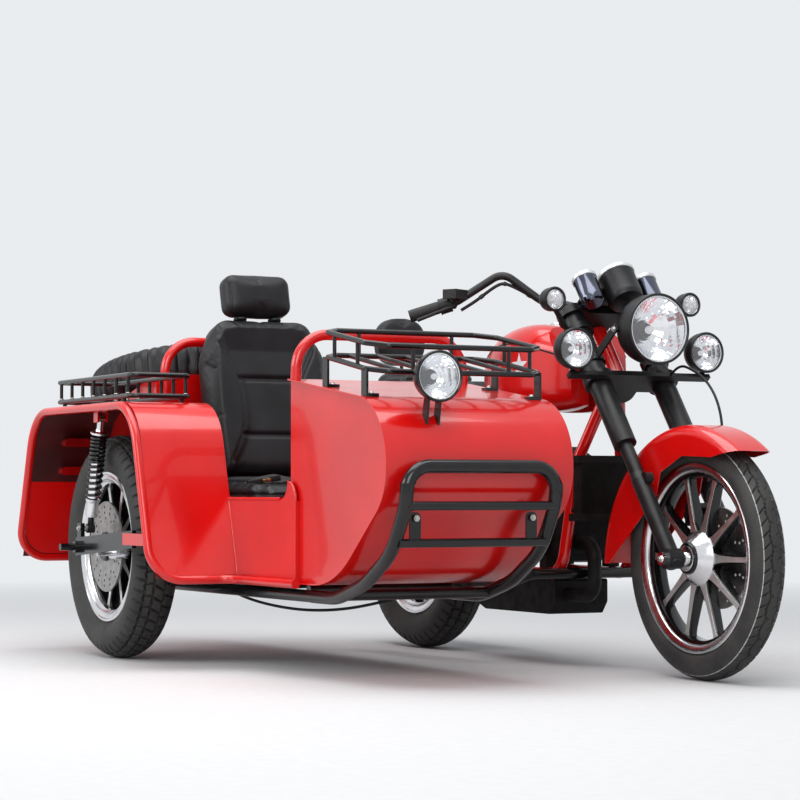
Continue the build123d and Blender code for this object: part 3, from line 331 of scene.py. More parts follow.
def bake(piece):
    """Turns a piece's modifiers into its mesh."""
    shown = piece.evaluated_get(bpy.context.evaluated_depsgraph_get())
    mesh = bpy.data.meshes.new_from_object(shown)
    piece.modifiers.clear()
    piece.data = mesh


def crease(mesh, angle):
    """Smooth shading, with edges sharper than the angle kept crisp, and all faces turned outward."""
    work = bmesh.new()
    work.from_mesh(mesh)
    bmesh.ops.remove_doubles(work, verts=work.verts, dist=2e-6)
    bmesh.ops.recalc_face_normals(work, faces=work.faces)
    limit = math.radians(angle)
    for edge in work.edges:
        if len(edge.link_faces) == 2:
            edge.smooth = edge.calc_face_angle(0) < limit
    work.to_mesh(mesh)
    work.free()


def node_mesh(name):
    """A copy of a CAD node's mesh, at its place in the frame."""
    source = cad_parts[name]
    mesh = source.data.copy()
    mesh.transform(source.matrix_world)
    return mesh


def skin_tree(mesh):
    """A mesh to shoot lines at."""
    return BVHTree.FromPolygons([v.co.copy() for v in mesh.vertices], [p.vertices[:] for p in mesh.polygons])


def circle(radius, z, sides, start=0.0):
    angles = [2 * math.pi * (side + start) / sides for side in range(sides)]
    return [(radius * math.cos(a), radius * math.sin(a), z) for a in angles]


class Shape:
    """A mesh in the making: its points in the frame's metres, its faces and their finishes."""

    def __init__(self):
        self.points = []
        self.faces = []
        self.marks = []
        self.finishes = []
        self.flat = []

    def face(self, corners, material, flat):
        if material not in self.finishes:
            self.finishes.append(material)
        self.faces.append(corners)
        self.marks.append(self.finishes.index(material))
        self.flat.append(flat)

    def skin(self, rings, material, where=CAR, round=True, loop=False, caps=False, flat=False):
        """A skin over rings of points. round closes each ring, loop joins the last ring to the first."""
        start = len(self.points)
        count = len(rings[0])
        for ring in rings:
            self.points.extend(where @ Vector(point) for point in ring)
        steps = len(rings) if loop else len(rings) - 1
        materials = material if isinstance(material, list) else [material] * steps
        for step in range(steps):
            low = start + step * count
            high = start + (step + 1) % len(rings) * count
            for side in range(count if round else count - 1):
                after = (side + 1) % count
                self.face((low + side, low + after, high + after, high + side), materials[step], flat)
        if caps:
            for begin in (start, start + (len(rings) - 1) * count):
                self.face(tuple(range(begin, begin + count)), materials[0], flat)

    def turned(self, profile, material, where, sides=72, loop=False):
        """A turned part: its profile holds a radius and a place along the part's own z."""
        self.skin([circle(r, z, sides) for r, z in profile], material, where, loop=loop)

    def pipe(self, points, radius, material, where=CAR, sides=14, loop=False):
        """A round bar along points."""
        path = [Vector(point) for point in points]
        count = len(path)
        rings = []
        normal = None
        for index, here in enumerate(path):
            before = path[index - 1] if loop or index else here
            after = path[(index + 1) % count] if loop or index < count - 1 else here
            ahead = (after - before).normalized()
            if normal is None:
                normal = ahead.orthogonal().normalized()
            normal = (normal - ahead * normal.dot(ahead)).normalized()
            across = ahead.cross(normal)
            rings.append([here + (normal * x + across * y) * radius for x, y, z in circle(1, 0, sides)])
        self.skin(rings, material, where, loop=loop, caps=not loop)

    def block(self, x, y, z, material, where=CAR):
        """A box between two places along each of its own axes."""
        corners = [(x[0], y[0]), (x[1], y[0]), (x[1], y[1]), (x[0], y[1])]
        self.skin([[(*corner, level) for corner in corners] for level in z], material, where, caps=True)

    def mesh(self, name, sharp=32):
        mesh = bpy.data.meshes.new(name)
        mesh.from_pydata(self.points, [], self.faces)
        dressed(mesh, *self.finishes)
        mesh.polygons.foreach_set("material_index", self.marks)
        mesh.polygons.foreach_set("use_smooth", [not flat for flat in self.flat])
        crease(mesh, sharp)
        return mesh

    def piece(self, name, body, slot=None, nodes=(), sharp=32, bevel=0.0):
        piece = linked(name, self.mesh(name, sharp))
        if bevel:
            edges = piece.modifiers.new("edges", "BEVEL")
            edges.width = bevel / 1000
            edges.segments = 2
            edges.limit_method = "ANGLE"
            edges.angle_limit = math.radians(40)
            bake(piece)
            crease(piece.data, sharp)
        return settle(piece, body, nodes)


def repeated(name, item, spots, material, body):
    """Copies of one small mesh, made with Geometry Nodes: each spot is a point and a turn."""
    source = linked(name + "_item", item)
    mesh = bpy.data.meshes.new(name)
    mesh.from_pydata([point for point, turn in spots], [], [])
    turns = mesh.attributes.new("turn", "FLOAT_VECTOR", "POINT")
    turns.data.foreach_set("vector", [value for point, turn in spots for value in turn])
    piece = linked(name, mesh)
    tree = bpy.data.node_groups.new(name, "GeometryNodeTree")
    for way in ("INPUT", "OUTPUT"):
        tree.interface.new_socket("Geometry", in_out=way, socket_type="NodeSocketGeometry")
    start = node(tree, "NodeGroupInput")
    shape = node(tree, "GeometryNodeObjectInfo", Object=source)
    turn = tree.nodes.new("GeometryNodeInputNamedAttribute")
    turn.data_type = "FLOAT_VECTOR"
    turn.inputs["Name"].default_value = "turn"
    rotation = node(tree, "FunctionNodeEulerToRotation", [turn.outputs["Attribute"]])
    copies = node(tree, "GeometryNodeInstanceOnPoints", [start.outputs["Geometry"]])
    tree.links.new(shape.outputs["Geometry"], copies.inputs["Instance"])
    tree.links.new(rotation.outputs["Rotation"], copies.inputs["Rotation"])
    real = node(tree, "GeometryNodeRealizeInstances", [copies.outputs["Instances"]])
    dress = node(tree, "GeometryNodeSetMaterial", [real.outputs["Geometry"]], Material=material)
    node(tree, "NodeGroupOutput", [dress.outputs["Geometry"]])
    piece.modifiers.new("copies", "NODES").node_group = tree
    bake(piece)
    crease(piece.data, 32)
    bpy.data.objects.remove(source)
    return settle(piece, body)


def turn_to(z_axis):
    """The turn of a copy whose own z looks along z_axis, for a spot."""
    axis = Vector(z_axis)
    x_axis = LEFT if abs(axis.normalized().dot(Vector(FORWARD))) > 0.9 else FORWARD
    return tuple(facing(axis, x_axis).to_euler())


def divided(line, parts, step=math.inf):
    """The line's points with each run cut in at least so many parts, each about as long as the step."""
    points = [Vector(point) for point in line]
    cut = []
    for first, second in zip(points, points[1:]):
        count = max(parts, int((second - first).length / step))
        cut += [first.lerp(second, index / count) for index in range(count)]
    return cut + [points[-1]]


def eased(path, turns):
    """The path with its corners softened and its ends kept."""
    for turn in range(turns):
        middle = [(a + b * 2 + c) / 4 for a, b, c in zip(path, path[1:], path[2:])]
        path = [path[0], *middle, path[-1]]
    return path


# Stage

BACKDROP = (0.82, 0.84, 0.86, 1)
# The photograph's camera: its place in metres, and how far it looks up and round in degrees
CAMERA_SPOT = (6.0535, -3.133, 0.479)
CAMERA_RISE = 2.17
CAMERA_HEADING = 62.64


class StageSizes(bpy.types.PropertyGroup):
    lens: bpy.props.FloatProperty(
        name="Lens", description="Focal length of the camera, in millimetres", default=108.9, min=20, max=300
    )
    floor_width: bpy.props.FloatProperty(
        name="Floor width", description="Side of the square floor", default=40.0, min=5, unit="LENGTH"
    )


class SIDECAR_OT_stage(bpy.types.Operator):
    """Finishes of the CAD nodes, floor, backdrop, lamps and camera"""

    bl_idname = "sidecar.stage"
    bl_label = "Stage"

    def execute(self, context):
        size = context.scene.stage_sizes
        for finish_name, names in NODE_FINISH.items():
            for name in names:
                dressed(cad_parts[name].data, getattr(looks, finish_name))
        self.floor(size.floor_width / 2)
        self.world(context)
        self.lamps()
        self.camera(context, size.lens)
        return {"FINISHED"}

    def seen_rays(self, tree):
        """1 where the camera, metal or glass looks, 0 for the light that falls on things."""
        ray = tree.nodes.new("ShaderNodeLightPath")
        seen = ray.outputs["Is Camera Ray"]
        for other in ("Is Glossy Ray", "Is Transmission Ray"):
            seen = calculated(tree, "ShaderNodeMath", "MAXIMUM", seen, ray.outputs[other])
        return seen

    def floor(self, half):
        """A grey floor that turns into the backdrop's own colour far away."""
        floor = bpy.data.meshes.new("floor")
        corners = [(-half, -half, 0), (half, -half, 0), (half, half, 0), (-half, half, 0)]
        floor.from_pydata(corners, [], [(0, 1, 2, 3)])
        material, tree, surface, where = shader("pale_floor")
        grit = texture(tree, "Noise", where, 30.0, 6.0).outputs["Fac"]
        tree.links.new(blend_colours(tree, grit, (0.6,) * 3, (0.68,) * 3), surface.inputs["Base Color"])
        coated(surface, Roughness=0.8)
        away = calculated(tree, "ShaderNodeVectorMath", "LENGTH", where)
        share = ramp(tree, away, 2.2, 6.5, 0, 1)
        share = calculated(tree, "ShaderNodeMath", "MULTIPLY", share, self.seen_rays(tree))
        backdrop = node(tree, "ShaderNodeEmission", Color=BACKDROP)
        mixed(tree, share, surface.outputs["BSDF"], backdrop.outputs["Emission"], "Material Output")
        floor.materials.append(material)
        linked("floor", floor)

    def world(self, context):
        """Soft light on the object, and a pale backdrop where the camera, metal and glass see it."""
        world = bpy.data.worlds.new("studio")
        context.scene.world = world
        world.use_nodes = True
        tree = world.node_tree
        light = tree.nodes["Background"]
        coated(light, Color=(0.9, 0.94, 1.0, 1), Strength=0.5)
        pale = node(tree, "ShaderNodeBackground", Color=BACKDROP)
        seen = self.seen_rays(tree)
        mixed(tree, seen, light.outputs["Background"], pale.outputs["Background"], "World Output")

    def lamps(self):
        for name, spot, aim, width, height, power in (
            ("overhead", (0.3, -0.6, 4.0), (0, 0, 0.5), 4.5, 3.5, 170),
            ("front_right", (4.2, -2.6, 2.6), (0.3, 0, 0.5), 2.2, 2.2, 75),
            ("near_side", (-1.2, -4.6, 2.4), (-0.2, 0, 0.5), 3.4, 1.6, 75),
        ):
            data = bpy.data.lights.new(name, "AREA")
            data.shape = "RECTANGLE"
            data.size = width
            data.size_y = height
            data.energy = power
            lamp = linked(name, data)
            lamp.location = spot
            lamp.rotation_euler = (Vector(aim) - Vector(spot)).to_track_quat("-Z", "Y").to_euler()

    def camera(self, context, lens):
        data = bpy.data.cameras.new("camera")
        data.sensor_width = 36
        data.lens = lens
        data.clip_end = 60
        camera = linked("camera", data)
        camera.location = CAMERA_SPOT
        camera.rotation_euler = (math.radians(90 + CAMERA_RISE), 0, math.radians(CAMERA_HEADING))
        context.scene.camera = camera


# Free hoses

LINE_ROUTE = (
    (330, -835, 206), (388, -835, 206), (470, -803, 180), (565, -760, 163), (660, -712, 156),
    (755, -655, 162), (846, -596, 182), (896, -530, 206), (896, -471, 206),
)
HOSE_ROUTE = (
    (1213.2, 95, 792.1), (1249.3, 95, 818.9), (1316, 96, 800), (1372, 97, 772), (1415, 97, 730),
    (1440, 97, 680), (1449, 96, 625), (1447, 90, 570), (1438, 78, 520), (1425, 60, 478), (1425, 60, 450),
)


class CordSizes(bpy.types.PropertyGroup):
    line_width: bpy.props.FloatProperty(
        name="Brake line", description="Outer width of the line below the sidecar", default=0.008, min=0.002,
        unit="LENGTH",
    )
    hose_width: bpy.props.FloatProperty(
        name="Brake hose", description="Outer width of the front brake's hose", default=0.007, min=0.002,
        unit="LENGTH",
    )


class SIDECAR_OT_cords(bpy.types.Operator):
    """The brake line that sags below the sidecar and the front brake's hose"""

    bl_idname = "sidecar.cords"
    bl_label = "Hoses"

    def execute(self, context):
        size = context.scene.cord_sizes
        for name, route, width, length, body, node_name in (
            ("sagging_brake_line", LINE_ROUTE, size.line_width, 0.72, "chassis", "brake_line"),
            ("front_brake_hose", HOSE_ROUTE, size.hose_width, 0.52, "fork", "brake_hose"),
        ):
            curve = bpy.data.curves.new(name, "CURVE")
            curve.dimensions = "3D"
            curve.bevel_depth = width / 2
            curve.bevel_resolution = 4
            curve.use_fill_caps = True
            spline = curve.splines.new("NURBS")
            spline.points.add(len(route) - 1)
            for point, spot in zip(spline.points, route):
                point.co = (*at(*spot), 1)
            spline.order_u = 3
            spline.use_endpoint_u = True
            spline.resolution_u = 12
            curve.materials.append(looks.plastic)
            cord = settle(linked(name, curve), body, (node_name,))
        return {"FINISHED"}


# Wheels

# word, x, y, axle height, rim radius, half width between the beads, whether the hub has a bright cone
WHEELS = (
    ("front", WHEELBASE, 0, FRONT_TYRE_R, 243, 31, True),
    ("rear", 0, 0, REAR_TYRE_R, 217, 43, False),
    ("sidecar", SIDE_LEAD, -SIDE_TRACK, REAR_TYRE_R, 217, 43, False),
)


class WheelSizes(bpy.types.PropertyGroup):
    spokes: bpy.props.IntProperty(
        name="Spokes", description="Cast spokes in each wheel", default=10, min=3, max=24
    )
    face_width: bpy.props.FloatProperty(
        name="Spoke face", description="Width of a spoke's machined face, in millimetres", default=17.0,
        min=4, max=30,
    )


class SIDECAR_OT_wheels(bpy.types.Operator):
    """Cast wheels: polished lips, black barrels, spokes with machined faces, hubs"""

    bl_idname = "sidecar.wheels"
    bl_label = "Wheels"

    def execute(self, context):
        size = context.scene.wheel_sizes
        for word, x, y, height, rim_r, seat, cone in WHEELS:
            body = word + "_wheel"
            where = place((x, y, height), RIGHT)
            shape = Shape()
            self.rim(shape, where, rim_r, seat, stepped=not cone)
            self.hub(shape, where, cone)
            shape.piece(body + "_rim", body, "alloy", (word + "_rim",))
            turns = [2 * math.pi * index / size.spokes for index in range(size.spokes)]
            spots = [(at(x, y, height), (0, turn, 0)) for turn in turns]
            arm, strip = self.spoke(rim_r - 34, size.face_width, cone)
            repeated(body + "_spokes", arm, spots, looks.gloss_black, body)
            repeated(body + "_spoke_faces", strip, spots, looks.machined, body)
        return {"FINISHED"}

    def rim(self, shape, where, rim_r, seat, stepped):
        """The bright lips and the black barrel, with the lip's places counted from its radius and side."""
        side = seat + 5
        lip = [(0, -1.5), (-2, 0.4), (-8, 0.8)]
        if stepped:
            lip += [(-10, -2), (-20, -6), (-23, -5), (-25, -10), (-33, -16), (-35, -24)]
        else:
            lip += [(-20, -4), (-24, -8), (-25, -12)]
        bright = [(rim_r - 12, seat), (rim_r, seat)] + [(rim_r + r, side + z) for r, z in lip]
        edge = bright[-1][1]
        half = bright + [(rim_r - 33, edge - 3), (rim_r - 35, edge - 7), (rim_r - 36, 0)]
        profile = half + [(r, -z) for r, z in reversed(half[:-1])]
        lips = [looks.alloy] * len(bright)
        shape.turned(profile, lips[1:] + [looks.gloss_black] * 6 + lips, where, 128, loop=True)

    def hub(self, shape, where, cone):
        if cone:
            shape.turned(
                [(12, 60), (30, 60), (33, 58.5), (33.5, 55), (37, 53), (69, 25), (70.5, 23), (70, 20),
                 (60, 15), (44, 10)],
                looks.alloy, where, 96,
            )
        shape.turned(
            [(12, 57.8), (38, 57.8), (41, 55), (41, 24), (58, 19), (60, 14), (60, -12), (57, -17), (42, -22),
             (42, -55), (39, -57.8), (12, -57.8)],
            looks.gloss_black, where, 96,
        )

    def spoke(self, tip, face, cone):
        """One spoke along its own x, and the machined strip on its face."""
        turn = facing(RIGHT, FORWARD) @ MILLIMETRES
        front_hub, front_rim = (21, 13) if cone else (17, 19)
        root = 52
        # Along the spoke, and its width as a share of the face
        stations = (
            (root, 2.1), (60, 2.0), (70, 1.65), (82, 1.32), (98, 1.08), (120, 0.95), (150, 0.84),
            (tip - 22, 0.8), (tip - 9, 1.0), (tip + 1, 1.4),
        )
        arm_rings, strip_rings = [], []
        for along, wide in stations:
            half = face * wide / 2
            share = (along - root) / (tip - root)
            top = front_hub + (front_rim - front_hub) * share
            low = -16 + 3 * share
            section = (
                (half, top), (half + 2.4, top - 3), (half + 3.4, top - 12),
                (half + 1, low + 3), (half - 2, low),
            )
            arm_rings.append([(along, y, z) for y, z in section] + [(along, -y, z) for y, z in section[::-1]])
            corners = ((half - 0.6, 0.5), (half, -0.6), (-half, -0.6), (0.6 - half, 0.5))
            strip_rings.append([(along, y, top + z) for y, z in corners])
        arm, strip = Shape(), Shape()
        arm.skin(arm_rings, looks.gloss_black, turn, caps=True)
        strip.skin(strip_rings, looks.machined, turn, caps=True)
        return arm.mesh("spoke_body", 50), strip.mesh("spoke_face", 50)


# Tyres


def arc_points(first, middle, last, count):
    """Points spaced evenly on the arc through three points, both ends included."""
    a, b, c = (complex(*point) for point in (first, middle, last))
    ratio = (c - a) / (b - a)
    centre = (b - a) * (ratio - abs(ratio) ** 2) / 2j / ratio.imag + a
    if abs(abs(a - centre) - abs(b - centre)) > 1e-6:
        centre = 2 * a - centre
    start, through, end = (math.atan2((p - centre).imag, (p - centre).real) for p in (a, b, c))
    sweep = (end - start) % (2 * math.pi)
    if (through - start) % (2 * math.pi) > sweep:
        sweep -= 2 * math.pi
    radius = abs(a - centre)
    spots = [start + sweep * index / (count - 1) for index in range(count)]
    return [(centre.real + radius * math.cos(s), centre.imag + radius * math.sin(s)) for s in spots]


def groove(distance, width, wall=1.4):
    """1 in a groove and 0 beside it, from the distance to its middle line."""
    return np.clip((width / 2 - np.abs(distance)) / wall + 0.5, 0, 1)


def zigzag(position):
    return 4 * np.abs(position - np.floor(position) - 0.5) - 1


def nearest_line(position, pitch):
    """Signed distance to the nearest of lines that are a pitch apart."""
    return (position / pitch - np.round(position / pitch)) * pitch


def road_tread(around, across, length):
    """Wavy grooves beside the crown, with slanted cuts out to the shoulders."""
    wave, cut = length / 32, length / 64
    side = np.abs(across)
    depth = np.zeros_like(around)
    for line, phase in ((13, 0.0), (-13, 0.5)):
        middle = line + 3.2 * zigzag(around / wave + phase)
        depth = np.maximum(depth, groove(across - middle, 3.4))
    slant = around + 0.85 * (side - 15) + np.where(across > 0, 0, cut / 2)
    outer = (side > 14) & (side < 34)
    depth = np.maximum(depth, outer * groove(nearest_line(slant, cut), 3.2))
    short = around - 0.9 * side + np.where(across > 0, 0, wave / 2)
    inner = (side > 3) & (side < 11)
    return 4.6 * np.maximum(depth, inner * groove(nearest_line(short, wave), 2.6))


def knobby_tread(around, across, length):
    """Staggered blocks in five rows, between wide grooves."""
    pitch = length / 54
    side = np.abs(across)
    row = np.where(side < 17, 0, np.where(side < 42, 1, 2))
    jag = 1.6 * zigzag(around / pitch)
    depth = np.maximum(groove(side - 17 - jag, 5.2), groove(side - 42 - jag, 5.2))
    slant = np.where(row == 0, 0.5 * across, np.where(row == 1, 0.28 * side, 0.0))
    shift = np.where((row == 1) | (row == 2) & (across < 0), pitch / 2, 0.0)
    depth = np.maximum(depth, groove(nearest_line(around + slant + shift, pitch), 6.0))
    return 7.5 * depth * np.clip((78 - side) / 10, 0, 1)


# Radius and half width of the wall's belly and of the shoulder, steps on a wall, tread, steps round,
# and how far the pale line lies from the crown, in the order of WHEELS
TYRES = (
    ((264, 44), (285, 40), 14, road_tread, 896, 34.0),
    ((262, 65), (296, 56), 12, knobby_tread, 756, None),
    ((262, 65), (296, 56), 12, knobby_tread, 756, None),
)
CROWN_STEPS = 44
# How far a bead reaches in from the rim's edge, and its gap to the rim's side
BEAD_DEPTH, BEAD_GAP = 11.7, 0.3


class TyreSizes(bpy.types.PropertyGroup):
    tread: bpy.props.FloatProperty(
        name="Tread", description="Share of the full tread depth", default=1.0, min=0, max=1.5
    )


class SIDECAR_OT_tyres(bpy.types.Operator):
    """Tyres with their tread: a road pattern in front, blocks behind and at the side"""

    bl_idname = "sidecar.tyres"
    bl_label = "Tyres"

    def execute(self, context):
        share = context.scene.tyre_sizes.tread
        for wheel, (belly, shoulder, on_wall, tread, steps, line) in zip(WHEELS, TYRES):
            word, x, y, radius, rim_r, seat, cone = wheel
            section = self.section(radius, rim_r, seat - BEAD_GAP, belly, shoulder, on_wall)
            where = place((x, y, radius), RIGHT)
            self.tyre(word, where, radius, section, tread, share, steps, line)
        return {"FINISHED"}

    def section(self, radius, rim_r, seat, belly, shoulder, on_wall):
        """The tyre's outline without its tread, from one bead to the other."""
        wall = arc_points((rim_r, seat), belly, shoulder, on_wall)
        crown = arc_points(shoulder, (radius, 0), (shoulder[0], -shoulder[1]), CROWN_STEPS)
        outline = [(rim_r - BEAD_DEPTH, seat)] + wall + crown[1:-1] + [(r, -z) for r, z in reversed(wall)]
        return np.array(outline + [(rim_r - BEAD_DEPTH, -seat)])

    def tyre(self, word, where, radius, section, tread, share, steps, line):
        runs = np.linalg.norm(np.diff(section, axis=0), axis=1)
        across = np.concatenate([[0], np.cumsum(runs)])
        across -= across[-1] / 2
        slope = np.gradient(section, axis=0)
        outward = np.stack([-slope[:, 1], slope[:, 0]], axis=1)
        outward /= np.linalg.norm(outward, axis=1)[:, None]
        if outward[len(section) // 2, 0] < 0:
            outward = -outward
        angles = np.arange(steps) * 2 * np.pi / steps
        around, side = np.meshgrid(angles * radius, across, indexing="ij")
        reach = across[-1] - runs[0] - 6
        depth = tread(around, side, 2 * np.pi * radius) * share * np.clip((reach - np.abs(side)) / 8, 0, 1)
        r = section[:, 0] - depth * outward[:, 0]
        z = section[:, 1] - depth * outward[:, 1]
        turn = angles[:, None]
        points = np.stack([r * np.cos(turn), r * np.sin(turn), z], axis=2).reshape(-1, 3)
        where = np.array(where)
        points = points @ where[:3, :3].T + where[:3, 3]
        count = len(section)
        first = np.arange(steps)[:, None] * count
        second = (np.arange(steps)[:, None] + 1) % steps * count
        here = np.arange(count)[None, :]
        after = (here + 1) % count
        faces = np.stack([first + here, second + here, second + after, first + after], axis=2).reshape(-1, 4)
        mesh = bpy.data.meshes.new(word + "_wheel_tyre")
        mesh.from_pydata(points.tolist(), [], faces.tolist())
        dressed(mesh, looks.rubber)
        if line:
            mesh.materials.append(looks.mould_line)
            middles = (across + np.roll(across, -1)) / 2
            on_line = np.abs(np.abs(middles) - line) < 0.75
            mesh.polygons.foreach_set("material_index", np.tile(on_line.astype(int), steps))
        crease(mesh, 38)
        mesh.polygons.foreach_set("use_smooth", [True] * len(mesh.polygons))
        settle(linked(mesh.name, mesh), word + "_wheel", (word + "_tyre",))


# Lamps

# Where a dome's points would meet, a ring this small is left
DOME_HOLE = 0.01
HEAD_FACE = fork_at(242.8, 0, 600.4)
FOG_FACE = fork_at(146.9, 205, 605.5)
SIGNAL_FACE = fork_at(154.1, 215, 769.6)
SPOT_FACE = Vector((1490, -757, 758))


class LampSizes(bpy.types.PropertyGroup):
    facets: bpy.props.IntProperty(
        name="Facets", description="Facets round a reflector", default=30, min=8, max=90
    )


def lamp_body(shape, where, radius, depth, shell, ring_width):
    """A bowl with its rolled rim and inner ring, down to where the reflector starts; gives that radius."""
    turns = [math.pi / 24 * index for index in range(13)]
    back = radius - depth
    bowl = [(max(radius * math.sin(turn), DOME_HOLE), back - radius * math.cos(turn)) for turn in turns]
    edge = [(0, -9), (1.2, -8), (1.4, -1), (-0.6, 1.6), (-3.5, 2.2), (-5.5, 0.8), (-6, -2)]
    edge += [(-6 - ring_width, -3), (-6.5 - ring_width, -7)]
    profile = bowl + [(radius + r, z) for r, z in edge]
    shape.turned(profile, [shell] * (len(profile) - 3) + [looks.chrome] * 2, where, 72)
    return profile[-1][0]


def reflector(shape, where, radius, depth, facets, rings):
    """A faceted bowl behind the glass."""
    shares = [1 - ring / rings for ring in range(rings + 1)]
    rows = [(max(radius * share, 3), -7 - depth * (1 - share**2)) for share in shares]
    for index, pair in enumerate(zip(rows, rows[1:])):
        bands = [circle(r, z, facets, index % 2 * 0.5) for r, z in pair]
        shape.skin(bands, looks.mirror, where, flat=True)


def bulb(shape, where, depth, size):
    back = -7 - depth
    profile = ((DOME_HOLE / size, 30), (7, 29), (8.5, 24), (8.5, 12), (15, 10), (15, 2), (5 / size, 0))
    shape.turned(
        [(r * size, back + z * size) for r, z in profile],
        [looks.chrome] * 3 + [looks.gloss_black] * 3, where, 32,
    )


def lens(where, radius, rise, material, name, body, ribs):
    """The domed glass, with upright ribs if it has any."""
    rings = []
    for share in [1 - ring / 8 for ring in range(9)]:
        ring = circle(max(radius * share, DOME_HOLE), rise * (1 - share**2) - 2, 72)
        rings.append([(x, y, z + 0.5 * math.sin(x * ribs)) for x, y, z in ring])
    shape = Shape()
    shape.skin(rings, material, where)
    shape.piece(name, body, "lamp_glass")


def kept_brackets(cad, bowls, body, material):
    """A copy of a CAD node without the faces inside these bowls, each a face centre, radius and depth."""
    mesh = node_mesh(cad)
    work = bmesh.new()
    work.from_mesh(mesh)
    gone = []
    for face in work.faces:
        middle = face.calc_center_median()
        for centre, radius, depth in bowls:
            away = (middle - at(*centre)) * 1000
            inside = math.hypot(away.y, away.z) < radius + 0.4
            if inside and -depth - 0.4 < away.x < 0.2 * radius:
                gone.append(face)
                break
    bmesh.ops.delete(work, geom=gone, context="FACES")
    work.to_mesh(mesh)
    work.free()
    dressed(mesh, material)
    settle(linked(cad + "_brackets", mesh), body, nodes=(cad,))


class SIDECAR_OT_lamps(bpy.types.Operator):
    """Headlamp, fog lamps, signals and the sidecar's spot lamp"""

    bl_idname = "sidecar.lamps"
    bl_label = "Lamps"

    def execute(self, context):
        facets = context.scene.lamp_sizes.facets
        bowls = {"headlamp": [], "fog_lamps": [], "turn_signals": [], "spot_lamp": []}
        dress = {cad: ("fork", looks.satin_black) for cad in bowls}
        dress["spot_lamp"] = ("chassis", looks.gloss_black)
        for name, cad, centre, radius, depth, rise, ring, sides in self.list():
            body, shell = dress[cad]
            small = radius < 40
            where = place(centre, FORWARD, LEFT)
            shape = Shape()
            inside = lamp_body(shape, where, radius, depth, shell, ring)
            hollow = min(0.62 * depth, 0.75 * radius)
            reflector(shape, where, inside, hollow, sides * facets // 30, 5 if small else 7)
            bulb(shape, where, hollow, radius / 93 + 0.25)
            shape.piece(name, body, "black_plastic")
            glass = looks.ribbed_glass if small else looks.lamp_glass
            lens(where, inside + ring + 0.5, rise, glass, name + "_glass", body, 0.9 if small else 0)
            bowls[cad].append((centre, radius, depth))
        for cad, inside in bowls.items():
            kept_brackets(cad, inside, *dress[cad])
        return {"FINISHED"}

    def list(self):
        """name, CAD node, centre of the face, radius, depth, dome, ring, facets round"""
        lamps = [
            ("headlamp_bowl", "headlamp", HEAD_FACE, 93, 130, 9, 4, 40),
            ("spot_lamp_bowl", "spot_lamp", SPOT_FACE, 62, 70, 6, 2.5, 30),
        ]
        for side, word in ((-1, "right"), (1, "left")):
            fog, signal = (Vector((face.x, side * face.y, face.z)) for face in (FOG_FACE, SIGNAL_FACE))
            lamps.append((word + "_fog_lamp", "fog_lamps", fog, 54, 70, 9, 2, 24))
            lamps.append((word + "_signal", "turn_signals", signal, 32, 55, 6, 1, 16))
        return lamps


# Gauges

# Across and ahead of the fork's axis, lowest and highest place along it, radius, finish of the shell
GAUGES = (
    (0, 165, 757, 860, 50, looks.satin_black),
    (-95, 151, 761, 855, 32.5, looks.blue_chrome),
    (95, 151, 761, 855, 32.5, looks.blue_chrome),
)


class GaugeSizes(bpy.types.PropertyGroup):
    ring_height: bpy.props.FloatProperty(
        name="Ring", description="Height of the pale ring round a dial, in millimetres", default=13.0,
        min=4, max=40,
    )


class SIDECAR_OT_gauges(bpy.types.Operator):
    """Three round gauges with pale rings, dials and glasses"""

    bl_idname = "sidecar.gauges"
    bl_label = "Gauges"

    def execute(self, context):
        tall = context.scene.gauge_sizes.ring_height
        shape, glasses, mark = Shape(), Shape(), Shape()
        ticks = []
        for across, ahead, low, high, radius, shell in GAUGES:
            where = FORK @ Matrix.Translation((ahead, across, 0))
            shape.turned(
                [(0.01, low), (radius * 0.72, low), (radius * 0.9, low + 4), (radius - 1, low + 12),
                 (radius - 0.5, low + 20), (radius - 0.5, high - tall)],
                shell, where, 64,
            )
            ring = ((1.6, -tall), (2.4, 3 - tall), (2.2, -3), (0, 0), (-3, 0.6), (-4.5, -1), (-5, -5))
            profile = [(radius + r, high + z) for r, z in ((-0.5, -tall), *ring)]
            shape.turned(profile, looks.pale_ring, where, 64)
            dial = [(radius - 5, high - 5), (radius - 6, high - 6), (0.01, high - 6)]
            shape.turned(dial, looks.gloss_black, where, 48)
            needle = (ahead - radius * 0.55, ahead + 3), (across - 0.8, across + 0.8), (high - 6, high - 5)
            shape.block(*needle, looks.red_lens, FORK)
            dome = [(radius - 4.5, high - 1.5), (radius - 12, high + 0.2), (0.01, high + 1.2)]
            glasses.turned(dome, looks.lamp_glass, where, 48)
            reach = radius * 0.72
            for turn in [math.radians(30 + 30 * index) for index in range(11)]:
                spot = (ahead + reach * math.cos(turn), across + reach * math.sin(turn), high - 5.6)
                spin = FORK.to_3x3().normalized() @ Matrix.Rotation(turn, 3, "Z")
                ticks.append((FORK @ Vector(spot), tuple(spin.to_euler())))
        shape.block((40, 144), (-75, 75), (818.6, 824), looks.satin_black, FORK)
        shape.block((100, 128), (-110, 110), (800, 806), looks.satin_black, FORK)
        shape.piece("gauge_cluster", "fork", "black_plastic", ("gauges",), bevel=0.5)
        glasses.piece("gauge_glasses", "fork", "lamp_glass")
        mark.block((-4, 4), (-0.7, 0.7), (0, 0.5), looks.white_paint, MILLIMETRES)
        repeated("dial_marks", mark.mesh("dial_mark"), ticks, looks.white_paint, "fork")
        return {"FINISHED"}


# Soft pieces


